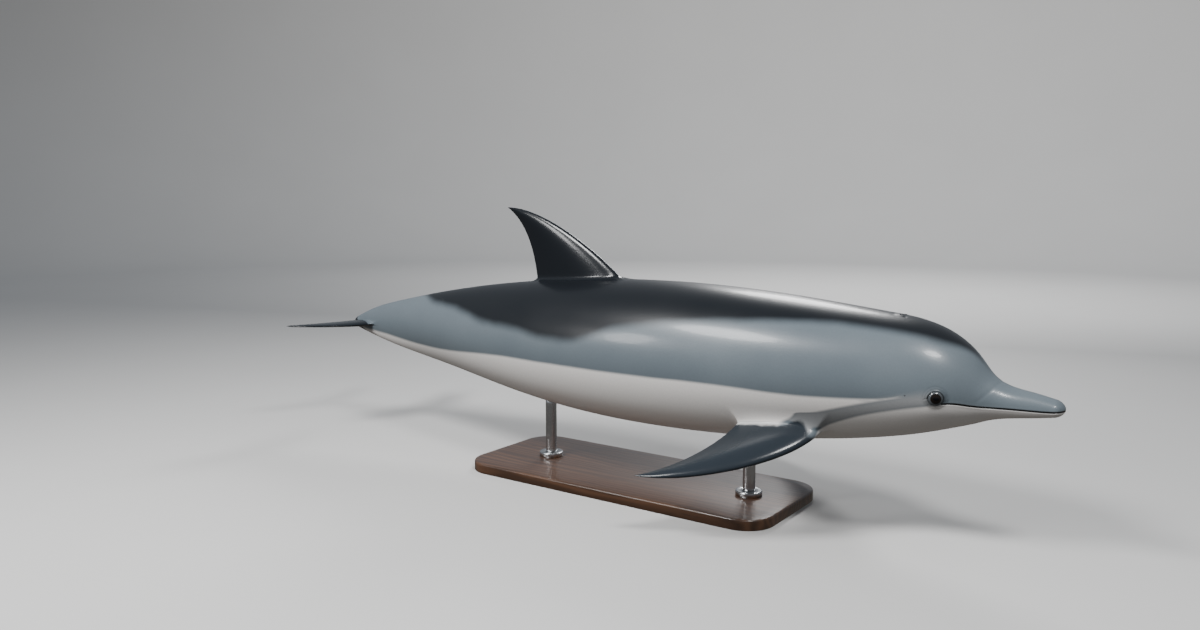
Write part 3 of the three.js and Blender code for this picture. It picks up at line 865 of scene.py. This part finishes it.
def new_group(name, inputs, outputs):
    """A node group with these inputs, None for a vector, and these outputs."""
    tree = bpy.data.node_groups.new(name, "ShaderNodeTree")
    for label, value in inputs.items():
        kind = "NodeSocketVector" if value is None else "NodeSocketFloat"
        socket = tree.interface.new_socket(label, in_out="INPUT", socket_type=kind)
        if value is not None:
            socket.default_value = value
    for label in outputs:
        tree.interface.new_socket(label, in_out="OUTPUT", socket_type="NodeSocketFloat")
    return tree, tree.nodes.new("NodeGroupInput"), tree.nodes.new("NodeGroupOutput")


def wire(tree, node, inputs):
    """Links sockets into a node's inputs, by name or number, and sets plain values on them."""
    for key, value in dict(inputs).items():
        if isinstance(value, bpy.types.NodeSocket):
            tree.links.new(value, node.inputs[key])
        else:
            node.inputs[key].default_value = value
    return node


def put(tree, kind, inputs=(), **settings):
    """Adds a node, sets it up and wires its inputs."""
    node = tree.nodes.new(kind)
    for key, value in settings.items():
        setattr(node, key, value)
    return wire(tree, node, inputs)


def maths(tree, operation, a, b=0.0, c=0.0):
    """A Math node's result."""
    return put(tree, "ShaderNodeMath", {0: a, 1: b, 2: c}, operation=operation).outputs[0]


def blend(tree, share, first, second):
    """first where share is 0 and second where it is 1, as a colour."""
    first, second = (c if isinstance(c, bpy.types.NodeSocket) else (*c, 1) for c in (first, second))
    return put(tree, "ShaderNodeMix", {0: share, 6: first, 7: second}, data_type="RGBA").outputs[2]


def ramp(tree, value, low, high, to_low=0.0, to_high=1.0, smooth=True):
    """Maps low..high to another range and holds it outside."""
    links = {"Value": value, "From Min": low, "From Max": high, "To Min": to_low, "To Max": to_high}
    style = "SMOOTHSTEP" if smooth else "LINEAR"
    return put(tree, "ShaderNodeMapRange", links, interpolation_type=style).outputs["Result"]


def noise(tree, place, scale, detail):
    """Cloud noise between 0 and 1, finer with a larger scale."""
    links = {"Vector": place, "Scale": scale, "Detail": detail}
    return put(tree, "ShaderNodeTexNoise", links).outputs["Fac"]


print("groups so far:", len(bpy.data.node_groups))

# %% Soft edge of a marking
soft_edge, given, made = new_group(
    "marking_edge", {"Place": None, "Distance": 0, "Softness": 5, "Wander": 4, "Grain": 30}, ["Mask"]
)
cloud = noise(soft_edge, given.outputs["Place"], given.outputs["Grain"], 4.0)
shift = maths(soft_edge, "MULTIPLY", maths(soft_edge, "SUBTRACT", cloud, 0.5), given.outputs["Wander"])
moved = maths(soft_edge, "ADD", given.outputs["Distance"], shift)
low = maths(soft_edge, "MULTIPLY", given.outputs["Softness"], -1.0)
soft_edge.links.new(ramp(soft_edge, moved, low, given.outputs["Softness"]), made.inputs["Mask"])
print("marking_edge:", len(soft_edge.nodes), "nodes")

# %% Cloudy unevenness
mottle, given, made = new_group("mottle", {"Place": None, "Scale": 6, "Fine": 60}, ["Broad", "Grain"])
broad = noise(mottle, given.outputs["Place"], given.outputs["Scale"], 5.0)
grain = noise(mottle, given.outputs["Place"], given.outputs["Fine"], 6.0)
mottle.links.new(broad, made.inputs["Broad"])
mottle.links.new(grain, made.inputs["Grain"])
print("mottle:", len(mottle.nodes), "nodes")

# %% Thin lines
thin_lines, given, made = new_group(
    "thin_lines", {"Place": None, "Scale": 9, "Thin": 0.012, "Share": 0.6}, ["Mask"]
)
wave = noise(thin_lines, given.outputs["Place"], given.outputs["Scale"], 1.0)
apart = maths(thin_lines, "ABSOLUTE", maths(thin_lines, "SUBTRACT", wave, 0.5))
line = ramp(thin_lines, apart, given.outputs["Thin"], 0.0)
patches = noise(thin_lines, given.outputs["Place"], 5.0, 2.0)
full_share = maths(thin_lines, "ADD", given.outputs["Share"], 0.08)
shown = ramp(thin_lines, patches, given.outputs["Share"], full_share)
thin_lines.links.new(maths(thin_lines, "MULTIPLY", line, shown), made.inputs["Mask"])
print("groups:", [g.name for g in bpy.data.node_groups])

# %% [markdown]
# ## Skin
# Dolphin skin is smooth and wet, without hair or scales, and reads as satin with one soft highlight. The colours
# are laid one over the other as the markings lie, each through its own soft edge. A faint cloudiness, a few
# healed scratches and a very low relief keep the large clean areas from looking like plastic.

# %% Colours of the coat
GREY = (0.117, 0.142, 0.161)
GREY_LIGHT = (0.132, 0.159, 0.178)
CAPE = (0.006, 0.0078, 0.0105)
SLATE = (0.017, 0.023, 0.030)
WHITE = (0.76, 0.73, 0.70)
BAND = (0.26, 0.267, 0.272)
WET_DARK = (0.008, 0.008, 0.009)
SCAR = (0.40, 0.42, 0.43)
print("white to grey:", round(WHITE[0] / GREY[0], 1), "| white to cape:", round(WHITE[0] / CAPE[0]))

# %% Material helpers


def new_material(name):
    """A material with its tree, its shader and the place on the object."""
    material = bpy.data.materials.new(name)
    material.use_nodes = True
    tree = material.node_tree
    place = tree.nodes.new("ShaderNodeTexCoord").outputs["Object"]
    return material, tree, tree.nodes["Principled BSDF"], place


def use(tree, group, **values):
    """Puts a node group to work and returns its outputs."""
    return put(tree, "ShaderNodeGroup", values, node_tree=group).outputs


def relief_of(tree, height, strength, distance):
    """A bump's normal."""
    links = {"Height": height, "Strength": strength, "Distance": distance}
    return put(tree, "ShaderNodeBump", links).outputs["Normal"]


def mark(tree, name):
    """A distance stored on the mesh."""
    return put(tree, "ShaderNodeAttribute", attribute_name=name).outputs["Fac"]


def masked(tree, place, name, softness, wander, grain):
    """1 inside a marking and 0 outside it, with a soft edge that wanders a little."""
    values = {"Distance": mark(tree, name), "Softness": softness, "Wander": wander, "Grain": grain}
    return use(tree, soft_edge, Place=place, **values)["Mask"]


wet_skin, tree, shader, place = new_material("wet_skin")
print("wet_skin starts with", len(tree.nodes), "nodes")

# %% [markdown]
# ## Markings one over the other
# The grey flank lies undermost. The grey band goes over it, then the white belly, the dark cape and last the dark
# fins. The cape's edge is the softest, about 3 cm wide, and the white's edge is crisp. The grain multiplies the
# finished colour, so dark and pale areas are both broken up by the same small share.

# %% Markings
MARKINGS = [
    # name, its edge's softness, wander and grain, and its colour
    ("band", (12.0, 5.0, 12.0), BAND),
    ("belly", (4.5, 3.0, 7.0), WHITE),
    ("cape", (15.0, 14.0, 9.0), CAPE),
]

uneven = use(tree, mottle, Place=place, Scale=5.0, Fine=260.0)
colour = blend(tree, ramp(tree, uneven["Broad"], 0.3, 0.7), GREY, GREY_LIGHT)
for name, edge, coat in MARKINGS:
    colour = blend(tree, masked(tree, place, name, *edge), colour, coat)
limb = blend(tree, mark(tree, "slate"), CAPE, SLATE)
on_limb = masked(tree, place, "dark", 3.5, 10.0, 40.0)
colour = blend(tree, on_limb, colour, limb)
cloudy = ramp(tree, uneven["Grain"], 0.3, 0.7, 0.97, 1.03, smooth=False)
cloudy = put(tree, "ShaderNodeCombineXYZ", {0: cloudy, 1: cloudy, 2: cloudy}).outputs[0]
colour = put(tree, "ShaderNodeVectorMath", {0: colour, 1: cloudy}, operation="MULTIPLY").outputs[0]
print("after the markings:", len(tree.nodes), "nodes")

# %% [markdown]
# ## Scratches, lids, lips and ear
# Dolphins rake each other with their teeth, and the healed scratches stay as faint pale lines along the body. The
# lids and the lips are dark and wet, and a wider ring round the lids is darkened towards the cape's colour as
# painted shade round the sunk eye. The ear is only a pinhole behind the eye. Its distance is measured from one
# point after taking the absolute place, so that one formula serves both sides.

# %% Scratches, lids, lips and ear
EAR_S, EAR_ANGLE = 262.0, -0.03
EAR_EDGE, EAR_PIT = 0.0024, 0.0006
DARK_EDGES = [
    # name, where it starts and is full and the shares there, and its colour
    ("lid", (2.2, 0.2, 0.0, 0.75), WET_DARK),
    # This row darkens the skin within 14 mm of the lids towards the cape's colour: painted shade round the sunk
    # eye.
    ("lid", (14.0, 1.0, 0.0, 0.35), CAPE),
    ("mouth", (2.3, 1.3), WET_DARK),
    ("blowhole", (0.1, 0.6), WET_DARK),
]

along_body = put(tree, "ShaderNodeMapping", {"Vector": place, "Scale": (0.25, 1.0, 1.0)}).outputs[0]
scratched = use(tree, thin_lines, Place=along_body, Scale=6.0, Thin=0.0020, Share=0.60)["Mask"]
colour = blend(tree, maths(tree, "MULTIPLY", scratched, 0.06), colour, SCAR)
for name, steps, paint in DARK_EDGES:
    colour = blend(tree, ramp(tree, mark(tree, name), *steps), colour, paint)
slit = ramp(tree, mark(tree, "slit"), 3.4, 0.8)
colour = blend(tree, maths(tree, "MULTIPLY", slit, 0.7), colour, BAND)
both_sides = put(tree, "ShaderNodeVectorMath", {0: place}, operation="ABSOLUTE").outputs[0]
ear_at = to_frame(surface(EAR_S, EAR_ANGLE))
from_ear = put(tree, "ShaderNodeVectorMath", {0: both_sides, 1: ear_at}, operation="DISTANCE")
ear = ramp(tree, from_ear.outputs["Value"], EAR_EDGE, EAR_PIT)
colour = blend(tree, maths(tree, "MULTIPLY", ear, 0.6), colour, WET_DARK)
wire(tree, shader, {"Base Color": colour})
print("ear at:", ear_at.round(4), "| nodes:", len(tree.nodes))

# %% [markdown]
# ## Gloss and relief
# Wet skin has two layers: satin skin, and a thin clear film over it that sharpens the highlight. The roughness
# changes slowly over the body, and the flippers and the fins are a little smoother. The bump is kept very low,
# because on an animal this size a deeper grain would make it look like a small toy.

# %% Gloss and relief
satin = ramp(tree, uneven["Broad"], 0.3, 0.7, 0.29, 0.37, smooth=False)
satin = maths(tree, "MULTIPLY_ADD", on_limb, -0.10, satin)
wire(tree, shader, {"Roughness": satin, "Specular IOR Level": 0.35})
wire(tree, shader, {"Coat Weight": 0.15, "Coat Roughness": 0.1})
relief = maths(tree, "MULTIPLY_ADD", uneven["Grain"], 0.25, maths(tree, "MULTIPLY", uneven["Broad"], 1.0))
relief = maths(tree, "SUBTRACT", relief, maths(tree, "MULTIPLY", scratched, 0.15))
relief = maths(tree, "SUBTRACT", relief, maths(tree, "ADD", slit, ear))
wire(tree, shader, {"Normal": relief_of(tree, relief, 0.25, 0.002)})
skin_mesh.materials.append(wet_skin)
print("skin nodes:", len(tree.nodes))

# %% [markdown]
# ## Turned shapes
# Eyeballs, rods, collars and even the floor are round about an axis, as if made on a lathe. One helper turns a
# profile into points and faces, and another makes the piece: mesh, normals and material; it rides on the root and
# hides the solids it stands for. A modifier could turn the profile too, but plain faces are easier to measure.

# %% Turned shapes
ON_AXIS = 1e-6  # a radius below this is a single point


def turned(profile, steps):
    """Points and faces of a profile [(radius, height), ...] turned round the axis. Radius 0 closes an end."""
    rows, shape_points, shape_faces = [], [], []
    for radius, height in profile:
        if radius < ON_AXIS:
            rows.append([len(shape_points)] * steps)
            shape_points.append((0, 0, height))
        else:
            rows.append(list(range(len(shape_points), len(shape_points) + steps)))
            turn = 2 * math.pi * np.arange(steps) / steps
            circle = np.stack([radius * np.cos(turn), radius * np.sin(turn), np.full(steps, height)], 1)
            shape_points.extend(circle.tolist())
    for low, high in zip(rows, rows[1:]):
        for j in range(steps):
            k = (j + 1) % steps
            corners = [low[j], low[k], high[k], high[j]]
            shape_faces.append(list(dict.fromkeys(corners)))
    return shape_points, shape_faces


def new_piece(name, shape_points, shape_faces, material, slot_name, *nodes, smooth=True):
    """A finished piece that rides on the root and stands for the named solids."""
    mesh = bpy.data.meshes.new(name)
    mesh.from_pydata([tuple(p) for p in shape_points], [], shape_faces)
    made = bmesh.new()
    made.from_mesh(mesh)
    bmesh.ops.recalc_face_normals(made, faces=made.faces)
    made.to_mesh(mesh)
    made.free()
    if smooth:
        mesh.shade_smooth()
    mesh.materials.append(material)
    piece = new_object(name, mesh)
    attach(piece, "root")
    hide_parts(*nodes)
    return piece


print("a cone of 8 steps has", len(turned([(0, 0), (1, 0), (0, 1)], 8)[1]), "faces")

# %% [markdown]
# ## Eyeballs
# A dolphin's eye is a flattened ball: dark brown, almost black, with a slightly domed cornea in front and a pupil
# wider than it is tall. The mesh stores how far each point lies across the ball's axis, and the material finds
# the iris, its fibres and the pupil from that. A clear coat makes it wet. A painted picture of an iris would fix
# its sharpness for good; this one can be looked at from close by.

# %% Eye material
IRIS_DARK, IRIS_LIGHT = (0.004, 0.0028, 0.0024), (0.012, 0.0075, 0.0055)
EYE_WHITE = (0.080, 0.088, 0.095)
PUPIL = (0.0015, 0.0015, 0.002)
IRIS_EDGE = (9.0, 10.8)  # mm from the axis
PUPIL_EDGE = (4.3, 3.6)
PUPIL_WIDE, PUPIL_TALL = 0.72, 1.15  # below 1 draws the pupil out, above 1 presses it in

wet_eye, tree, shader, place = new_material("wet_eye")
across = put(tree, "ShaderNodeAttribute", attribute_name="across").outputs["Vector"]
spread = put(tree, "ShaderNodeVectorMath", {0: across}, operation="LENGTH").outputs["Value"]
parts = put(tree, "ShaderNodeSeparateXYZ", {0: across}).outputs
pressed = maths(tree, "MULTIPLY", parts[0], PUPIL_WIDE), maths(tree, "MULTIPLY", parts[1], PUPIL_TALL)
oval = put(tree, "ShaderNodeCombineXYZ", {0: pressed[0], 1: pressed[1]})
pupil_reach = put(tree, "ShaderNodeVectorMath", {0: oval.outputs[0]}, operation="LENGTH").outputs["Value"]
turn_angle = maths(tree, "ARCTAN2", parts[1], parts[0])
turned_way, outwards = maths(tree, "MULTIPLY", turn_angle, 6.0), maths(tree, "MULTIPLY", spread, 0.12)
rays = put(tree, "ShaderNodeCombineXYZ", {0: turned_way, 1: outwards}).outputs[0]
fibres = noise(tree, rays, 4.0, 3.0)
iris = blend(tree, ramp(tree, fibres, 0.3, 0.7), IRIS_DARK, IRIS_LIGHT)
colour = blend(tree, ramp(tree, spread, *IRIS_EDGE), iris, EYE_WHITE)
colour = blend(tree, ramp(tree, pupil_reach, *PUPIL_EDGE), colour, PUPIL)
wire(tree, shader, {"Base Color": colour, "Roughness": ramp(tree, fibres, 0.0, 1.0, 0.10, 0.16)})
wire(tree, shader, {"Coat Weight": 1.0, "Coat Roughness": 0.02, "Coat IOR": 1.36, "Specular IOR Level": 0.05})
print("wet_eye:", len(tree.nodes), "nodes")

# %% Eyeball shape
CORNEA_RADIUS, CORNEA_DOME = 11.0, 0.6
BALL_RINGS, BALL_STEPS = 49, 64
swing = np.radians(np.linspace(90, -90, BALL_RINGS))
radii, heights = EYE_RADIUS * np.cos(swing), EYE_DEPTH * np.sin(swing)
heights = heights + CORNEA_DOME * ease(1 - radii / CORNEA_RADIUS) * (heights > 0)
ball_points, ball_faces = turned(list(zip(radii, heights)), BALL_STEPS)
ball_points = np.array(ball_points)
for name, sign in (("left", 1), ("right", -1)):
    flip = np.array([1, sign, 1])
    centre = (eye_at - EYE_SUNK * eye_out) * flip
    axes = np.stack([eye_along * flip, eye_up * flip, eye_out * flip])
    placed = to_frame(centre + ball_points @ axes)
    ball = new_piece(f"eyeball_{name}", placed, ball_faces, wet_eye, "eye", f"eye_{name}")
    store = ball.data.attributes.new("across", "FLOAT_VECTOR", "POINT")
    flat = np.concatenate([ball_points[:, :2], np.zeros((len(ball_points), 1))], 1)
    store.data.foreach_set("vector", flat.astype(np.float32).ravel())
print("eyeballs:", len(ball_faces), "faces each")

# %% [markdown]
# ## Stained wood
# The stand's plate is planed hardwood, stained dark and lacquered. Its grain runs along the plate: slow bands of
# early and late wood, bent by a stretched cloud noise, with thin dark pores among them. A wave texture gives the
# bands, and lies in the object's own space, so the pattern runs on over the edge as in real timber.

# %% Wood material
LATE_WOOD, EARLY_WOOD = (0.045, 0.021, 0.011), (0.105, 0.050, 0.026)
STAIN, PORE = (0.060, 0.028, 0.014), (0.016, 0.008, 0.005)

stained_wood, tree, shader, place = new_material("stained_wood")
stretched = put(tree, "ShaderNodeMapping", {"Vector": place, "Scale": (1.1, 9.0, 9.0)}).outputs[0]
warp = put(tree, "ShaderNodeTexNoise", {"Vector": stretched, "Scale": 1.3, "Detail": 3.0})
bending = {0: warp.outputs["Color"], 1: (0.9, 0.9, 0.9), 2: stretched}
bent = put(tree, "ShaderNodeVectorMath", bending, operation="MULTIPLY_ADD").outputs[0]
bands = {"Vector": bent, "Scale": 1.9, "Distortion": 2.2, "Detail": 3.0}
growth_rings = put(tree, "ShaderNodeTexWave", bands, bands_direction="Y").outputs["Fac"]
fine = put(tree, "ShaderNodeMapping", {"Vector": place, "Scale": (5.0, 160.0, 160.0)}).outputs[0]
fibre = noise(tree, fine, 3.0, 4.0)
pores = ramp(tree, fibre, 0.60, 0.72)
colour = blend(tree, growth_rings, LATE_WOOD, EARLY_WOOD)
colour = blend(tree, ramp(tree, warp.outputs["Fac"], 0.35, 0.7, 0.0, 0.5), colour, STAIN)
colour = blend(tree, maths(tree, "MULTIPLY", pores, 0.75), colour, PORE)
satin = ramp(tree, fibre, 0.2, 0.8, 0.30, 0.46, smooth=False)
wire(tree, shader, {"Base Color": colour, "Roughness": satin, "Coat Weight": 0.5, "Coat Roughness": 0.18})
height = maths(tree, "MULTIPLY_ADD", pores, -1.0, maths(tree, "MULTIPLY", growth_rings, 0.25))
wire(tree, shader, {"Normal": relief_of(tree, height, 0.35, 0.0004)})
print("stained_wood:", len(tree.nodes), "nodes")

# %% [markdown]
# ## Wooden base
# The plate's plan is a rectangle with round corners, and its upper edge is eased with a small round so that it
# doesn't chip. Loops of the same plan, each a little smaller, give that edge. The bevel modifier would do it as
# well, but here each loop's place is known exactly.

# %% Base shape
BASE_X, BASE_LENGTH, BASE_WIDTH, BASE_THICK = 0.040, 0.820, 0.330, 0.024
BASE_CORNER, BASE_ROUND = 0.070, 0.004
LOWER_EASE = [(0.0015, 0.0), (0.0004, 0.0004), (0.0, 0.0015)]  # inset and height of the lower edge's loops
FACE_INSET = 0.030  # the flat faces' own border


def plan(inset, z, steps=14):
    """The base's outline, made smaller by inset, at height z."""
    radius, loop = BASE_CORNER - inset, []
    for quarter, (sx, sy) in enumerate([(1, 1), (-1, 1), (-1, -1), (1, -1)]):
        cx, cy = sx * (BASE_LENGTH / 2 - BASE_CORNER), sy * (BASE_WIDTH / 2 - BASE_CORNER)
        for turn in np.radians(np.linspace(0, 90, steps + 1) + 90 * quarter):
            loop.append((BASE_X + cx + radius * math.cos(turn), cy + radius * math.sin(turn), z))
    return loop


edge_turn = np.radians(np.linspace(0, 90, 7))
sides = [(FACE_INSET, 0.0)] + LOWER_EASE
sides += [(BASE_ROUND * (1 - math.cos(a)), BASE_THICK - BASE_ROUND * (1 - math.sin(a))) for a in edge_turn]
outline_loops = [plan(inset, z) for inset, z in sides + [(FACE_INSET, BASE_THICK)]]
per = len(outline_loops[0])
base_points = [p for loop in outline_loops for p in loop]
base_faces = [
    [a * per + j, a * per + (j + 1) % per, (a + 1) * per + (j + 1) % per, (a + 1) * per + j]
    for a in range(len(outline_loops) - 1)
    for j in range(per)
]
base_faces += [list(range(per)), list(range((len(outline_loops) - 1) * per, len(outline_loops) * per))]
new_piece("base_plate", base_points, base_faces, stained_wood, "stand_wood", "stand_base")
print("base:", len(base_faces), "faces")

# %% [markdown]
# ## Brushed steel
# Steel is a metal, so its colour lives in the reflection and not under it. Turning leaves fine rings round a rod,
# which show as small changes of roughness, and hands leave broad smudges. The rings are cloud noise squeezed 75
# times along the rod.

# %% Steel material
STEEL_DARK, STEEL_LIGHT = (0.50, 0.51, 0.52), (0.60, 0.61, 0.62)

brushed_steel, tree, shader, place = new_material("brushed_steel")
lines = put(tree, "ShaderNodeMapping", {"Vector": place, "Scale": (12.0, 12.0, 900.0)}).outputs[0]
brushing = noise(tree, lines, 2.0, 3.0)
smudge = use(tree, mottle, Place=place, Scale=14.0, Fine=300.0)["Broad"]
tint = blend(tree, ramp(tree, smudge, 0.3, 0.7), STEEL_DARK, STEEL_LIGHT)
rough = maths(tree, "MULTIPLY_ADD", brushing, 0.08, ramp(tree, smudge, 0.3, 0.75, 0.16, 0.24))
wire(tree, shader, {"Metallic": 1.0, "Base Color": tint, "Roughness": rough})
wire(tree, shader, {"Normal": relief_of(tree, brushing, 0.06, 0.0002)})
print("brushed_steel:", len(tree.nodes), "nodes")

# %% [markdown]
# ## Rods and collars
# Two steel rods as thick as a thumb carry the model, one under the chest and one behind the middle, so that its
# weight lies between them. Each runs from the plate a few millimetres into the belly, and a turned collar with an
# eased upper edge covers its foot. The rod's flat ends stay flat shaded, and only its side is smooth.

# %% Rods and collars
ROD_RADIUS, COLLAR_RADIUS, COLLAR_HEIGHT, COLLAR_EASE = 0.014, 0.030, 0.012, 0.003
RODS = (("front", 640.0), ("rear", 1200.0))  # behind the tip, mm
IN_BELLY = 0.004  # how far a rod runs into the skin
COLLAR_GAP = 0.0003  # between the collar and its rod
COLLAR_LIFT = 0.0001  # keeps the collar's foot clear of the plate
ROD_STEPS, COLLAR_STEPS = 48, 64

for name, behind in RODS:
    x = NOSE_X - behind / 1000
    rod_top = AXIS_Z + float(bottom(behind)) / 1000 + IN_BELLY
    rod = [(0, BASE_THICK), (ROD_RADIUS, BASE_THICK)]
    rod += [(ROD_RADIUS, z) for z in np.linspace(BASE_THICK, rod_top, 12)[1:]]
    rod += [(0, rod_top)]
    rod_points, rod_faces = turned(rod, ROD_STEPS)
    rod_points = np.array(rod_points) + [x, 0, 0]
    rod_is = (brushed_steel, "stand_steel", f"stand_rod_{name}")
    rod_piece = new_piece(f"rod_{name}", rod_points, rod_faces, *rod_is, smooth=False)
    for face in rod_piece.data.polygons:
        face.use_smooth = abs(face.normal.z) < 0.5
    bore, foot = ROD_RADIUS + COLLAR_GAP, BASE_THICK + COLLAR_LIFT
    ring = [(bore, foot), (COLLAR_RADIUS - 0.0005, foot), (COLLAR_RADIUS, foot + 0.0005)]
    for a in np.radians(np.linspace(0, 90, 7)):
        away, down = COLLAR_EASE * (1 - math.cos(a)), COLLAR_EASE * (1 - math.sin(a))
        ring.append((COLLAR_RADIUS - away, BASE_THICK + COLLAR_HEIGHT - down))
    ring += [(bore + 0.0006, BASE_THICK + COLLAR_HEIGHT), (bore, BASE_THICK + COLLAR_HEIGHT - 0.0005)]
    ring += [(bore, foot)]
    ring_points, ring_faces = turned(ring, COLLAR_STEPS)
    ring_points = np.array(ring_points) + [x, 0, 0]
    collar_node = f"stand_collar_{name}"
    new_piece(f"collar_{name}", ring_points, ring_faces, brushed_steel, "stand_steel", collar_node)
    print(name, "rod stands at x", round(x, 3), "and is", round(rod_top - BASE_THICK, 3), "m long")

# %% [markdown]
# ## Studio light
# A wet skin is drawn by what it reflects, so each panel is placed for one highlight. The key panel, in front and
# above, makes the long one on the flank. The fin panel runs up the back fin, the head panel catches the melon and
# the beak, and the rim panel behind the animal draws the edge of its back. Two more only light the backdrop.
# The panels are oval, because a square panel leaves a square highlight. They are hidden from the camera.

# %% Panels


def panel(name, place, target, width, height, power):
    """An oval area light in watts that looks at its target."""
    light = new_object(name, bpy.data.lights.new(name, "AREA"))
    light.data.shape = "ELLIPSE"
    light.data.size, light.data.size_y = width, height
    light.data.energy = power
    light.visible_camera = False
    light.location = place
    light.rotation_euler = (Vector(target) - light.location).to_track_quat("-Z", "Y").to_euler()


panel("key_panel", (-0.61, -1.78, 2.31), (0.3, 0, 0.35), 0.95, 0.7, 80)
panel("fin_panel", (-1.65, -2.46, 1.50), (-0.2, 0, 0.55), 0.5, 0.8, 26)
panel("head_panel", (1.80, -1.05, 2.59), (0.8, 0, 0.35), 0.75, 0.5, 56)
panel("rim_panel", (-0.65, 2.47, 2.19), (0.4, 0, 0.45), 0.9, 1.0, 50)
panel("backdrop_panel", (-0.6, 3.0, 2.8), (-2.4, 9.0, 1.2), 4.0, 1.5, 260)
panel("behind_camera_panel", (0.6, -3.6, 2.8), (2.4, -9.0, 1.2), 4.0, 1.5, 200)

# %% [markdown]
# ## Air
# The room's own light is cool from above and dim and warm from below, as outdoors, which lets the belly fall into
# shade. The world's colour changes with the height a ray looks at, and a Background node needs nothing more.

# %% Air
AIR_BELOW, AIR_ABOVE = (0.38, 0.36, 0.335), (0.74, 0.79, 0.86)
AIR_STRENGTH = 0.36

world = bpy.data.worlds.new("studio")
bpy.context.scene.world = world
world.use_nodes = True
room = world.node_tree
looked_at = room.nodes.new("ShaderNodeTexCoord").outputs["Generated"]
height = put(room, "ShaderNodeSeparateXYZ", {0: looked_at}).outputs[2]
air = blend(room, ramp(room, height, -0.25, 0.15), AIR_BELOW, AIR_ABOVE)
wire(room, room.nodes["Background"], {"Color": air, "Strength": AIR_STRENGTH})
print("air:", len(room.nodes), "nodes")

# %% [markdown]
# ## Floor
# The floor is a plain pale sheet that curves up far away on all sides, so no horizon cuts through the picture. So
# pale a floor would throw its light back up and wash out the shaded belly and the dark eyes. It is therefore
# hidden from diffuse and glossy rays: the camera sees it and shadows fall on it, and the animal sees the air.

# %% Floor
FLOOR_RADIUS, SWEEP_RADIUS, SWEEP_TOP = 6.5, 2.5, 8.0
FLOOR_DARK, FLOOR_PALE = (0.56, 0.555, 0.545), (0.60, 0.595, 0.585)

sweep = [(0, 0), (2.0, 0), (4.5, 0)]
for a in np.radians(np.arange(0, 91, 6)):
    sweep.append((FLOOR_RADIUS + SWEEP_RADIUS * math.sin(a), SWEEP_RADIUS * (1 - math.cos(a))))
sweep += [(FLOOR_RADIUS + SWEEP_RADIUS, SWEEP_TOP)]
floor_points, floor_faces = turned(sweep, 96)
floor_mesh = bpy.data.meshes.new("floor")
floor_mesh.from_pydata(floor_points, [], floor_faces)
floor_mesh.shade_smooth()
floor = new_object("floor", floor_mesh)
pale_floor, tree, shader, place = new_material("pale_floor")
uneven = use(tree, mottle, Place=place, Scale=1.5, Fine=40.0)
wire(tree, shader, {"Base Color": blend(tree, uneven["Broad"], FLOOR_DARK, FLOOR_PALE), "Roughness": 0.75})
floor_mesh.materials.append(pale_floor)
floor.visible_diffuse = False
floor.visible_glossy = False
print("floor:", len(floor_mesh.polygons), "faces")
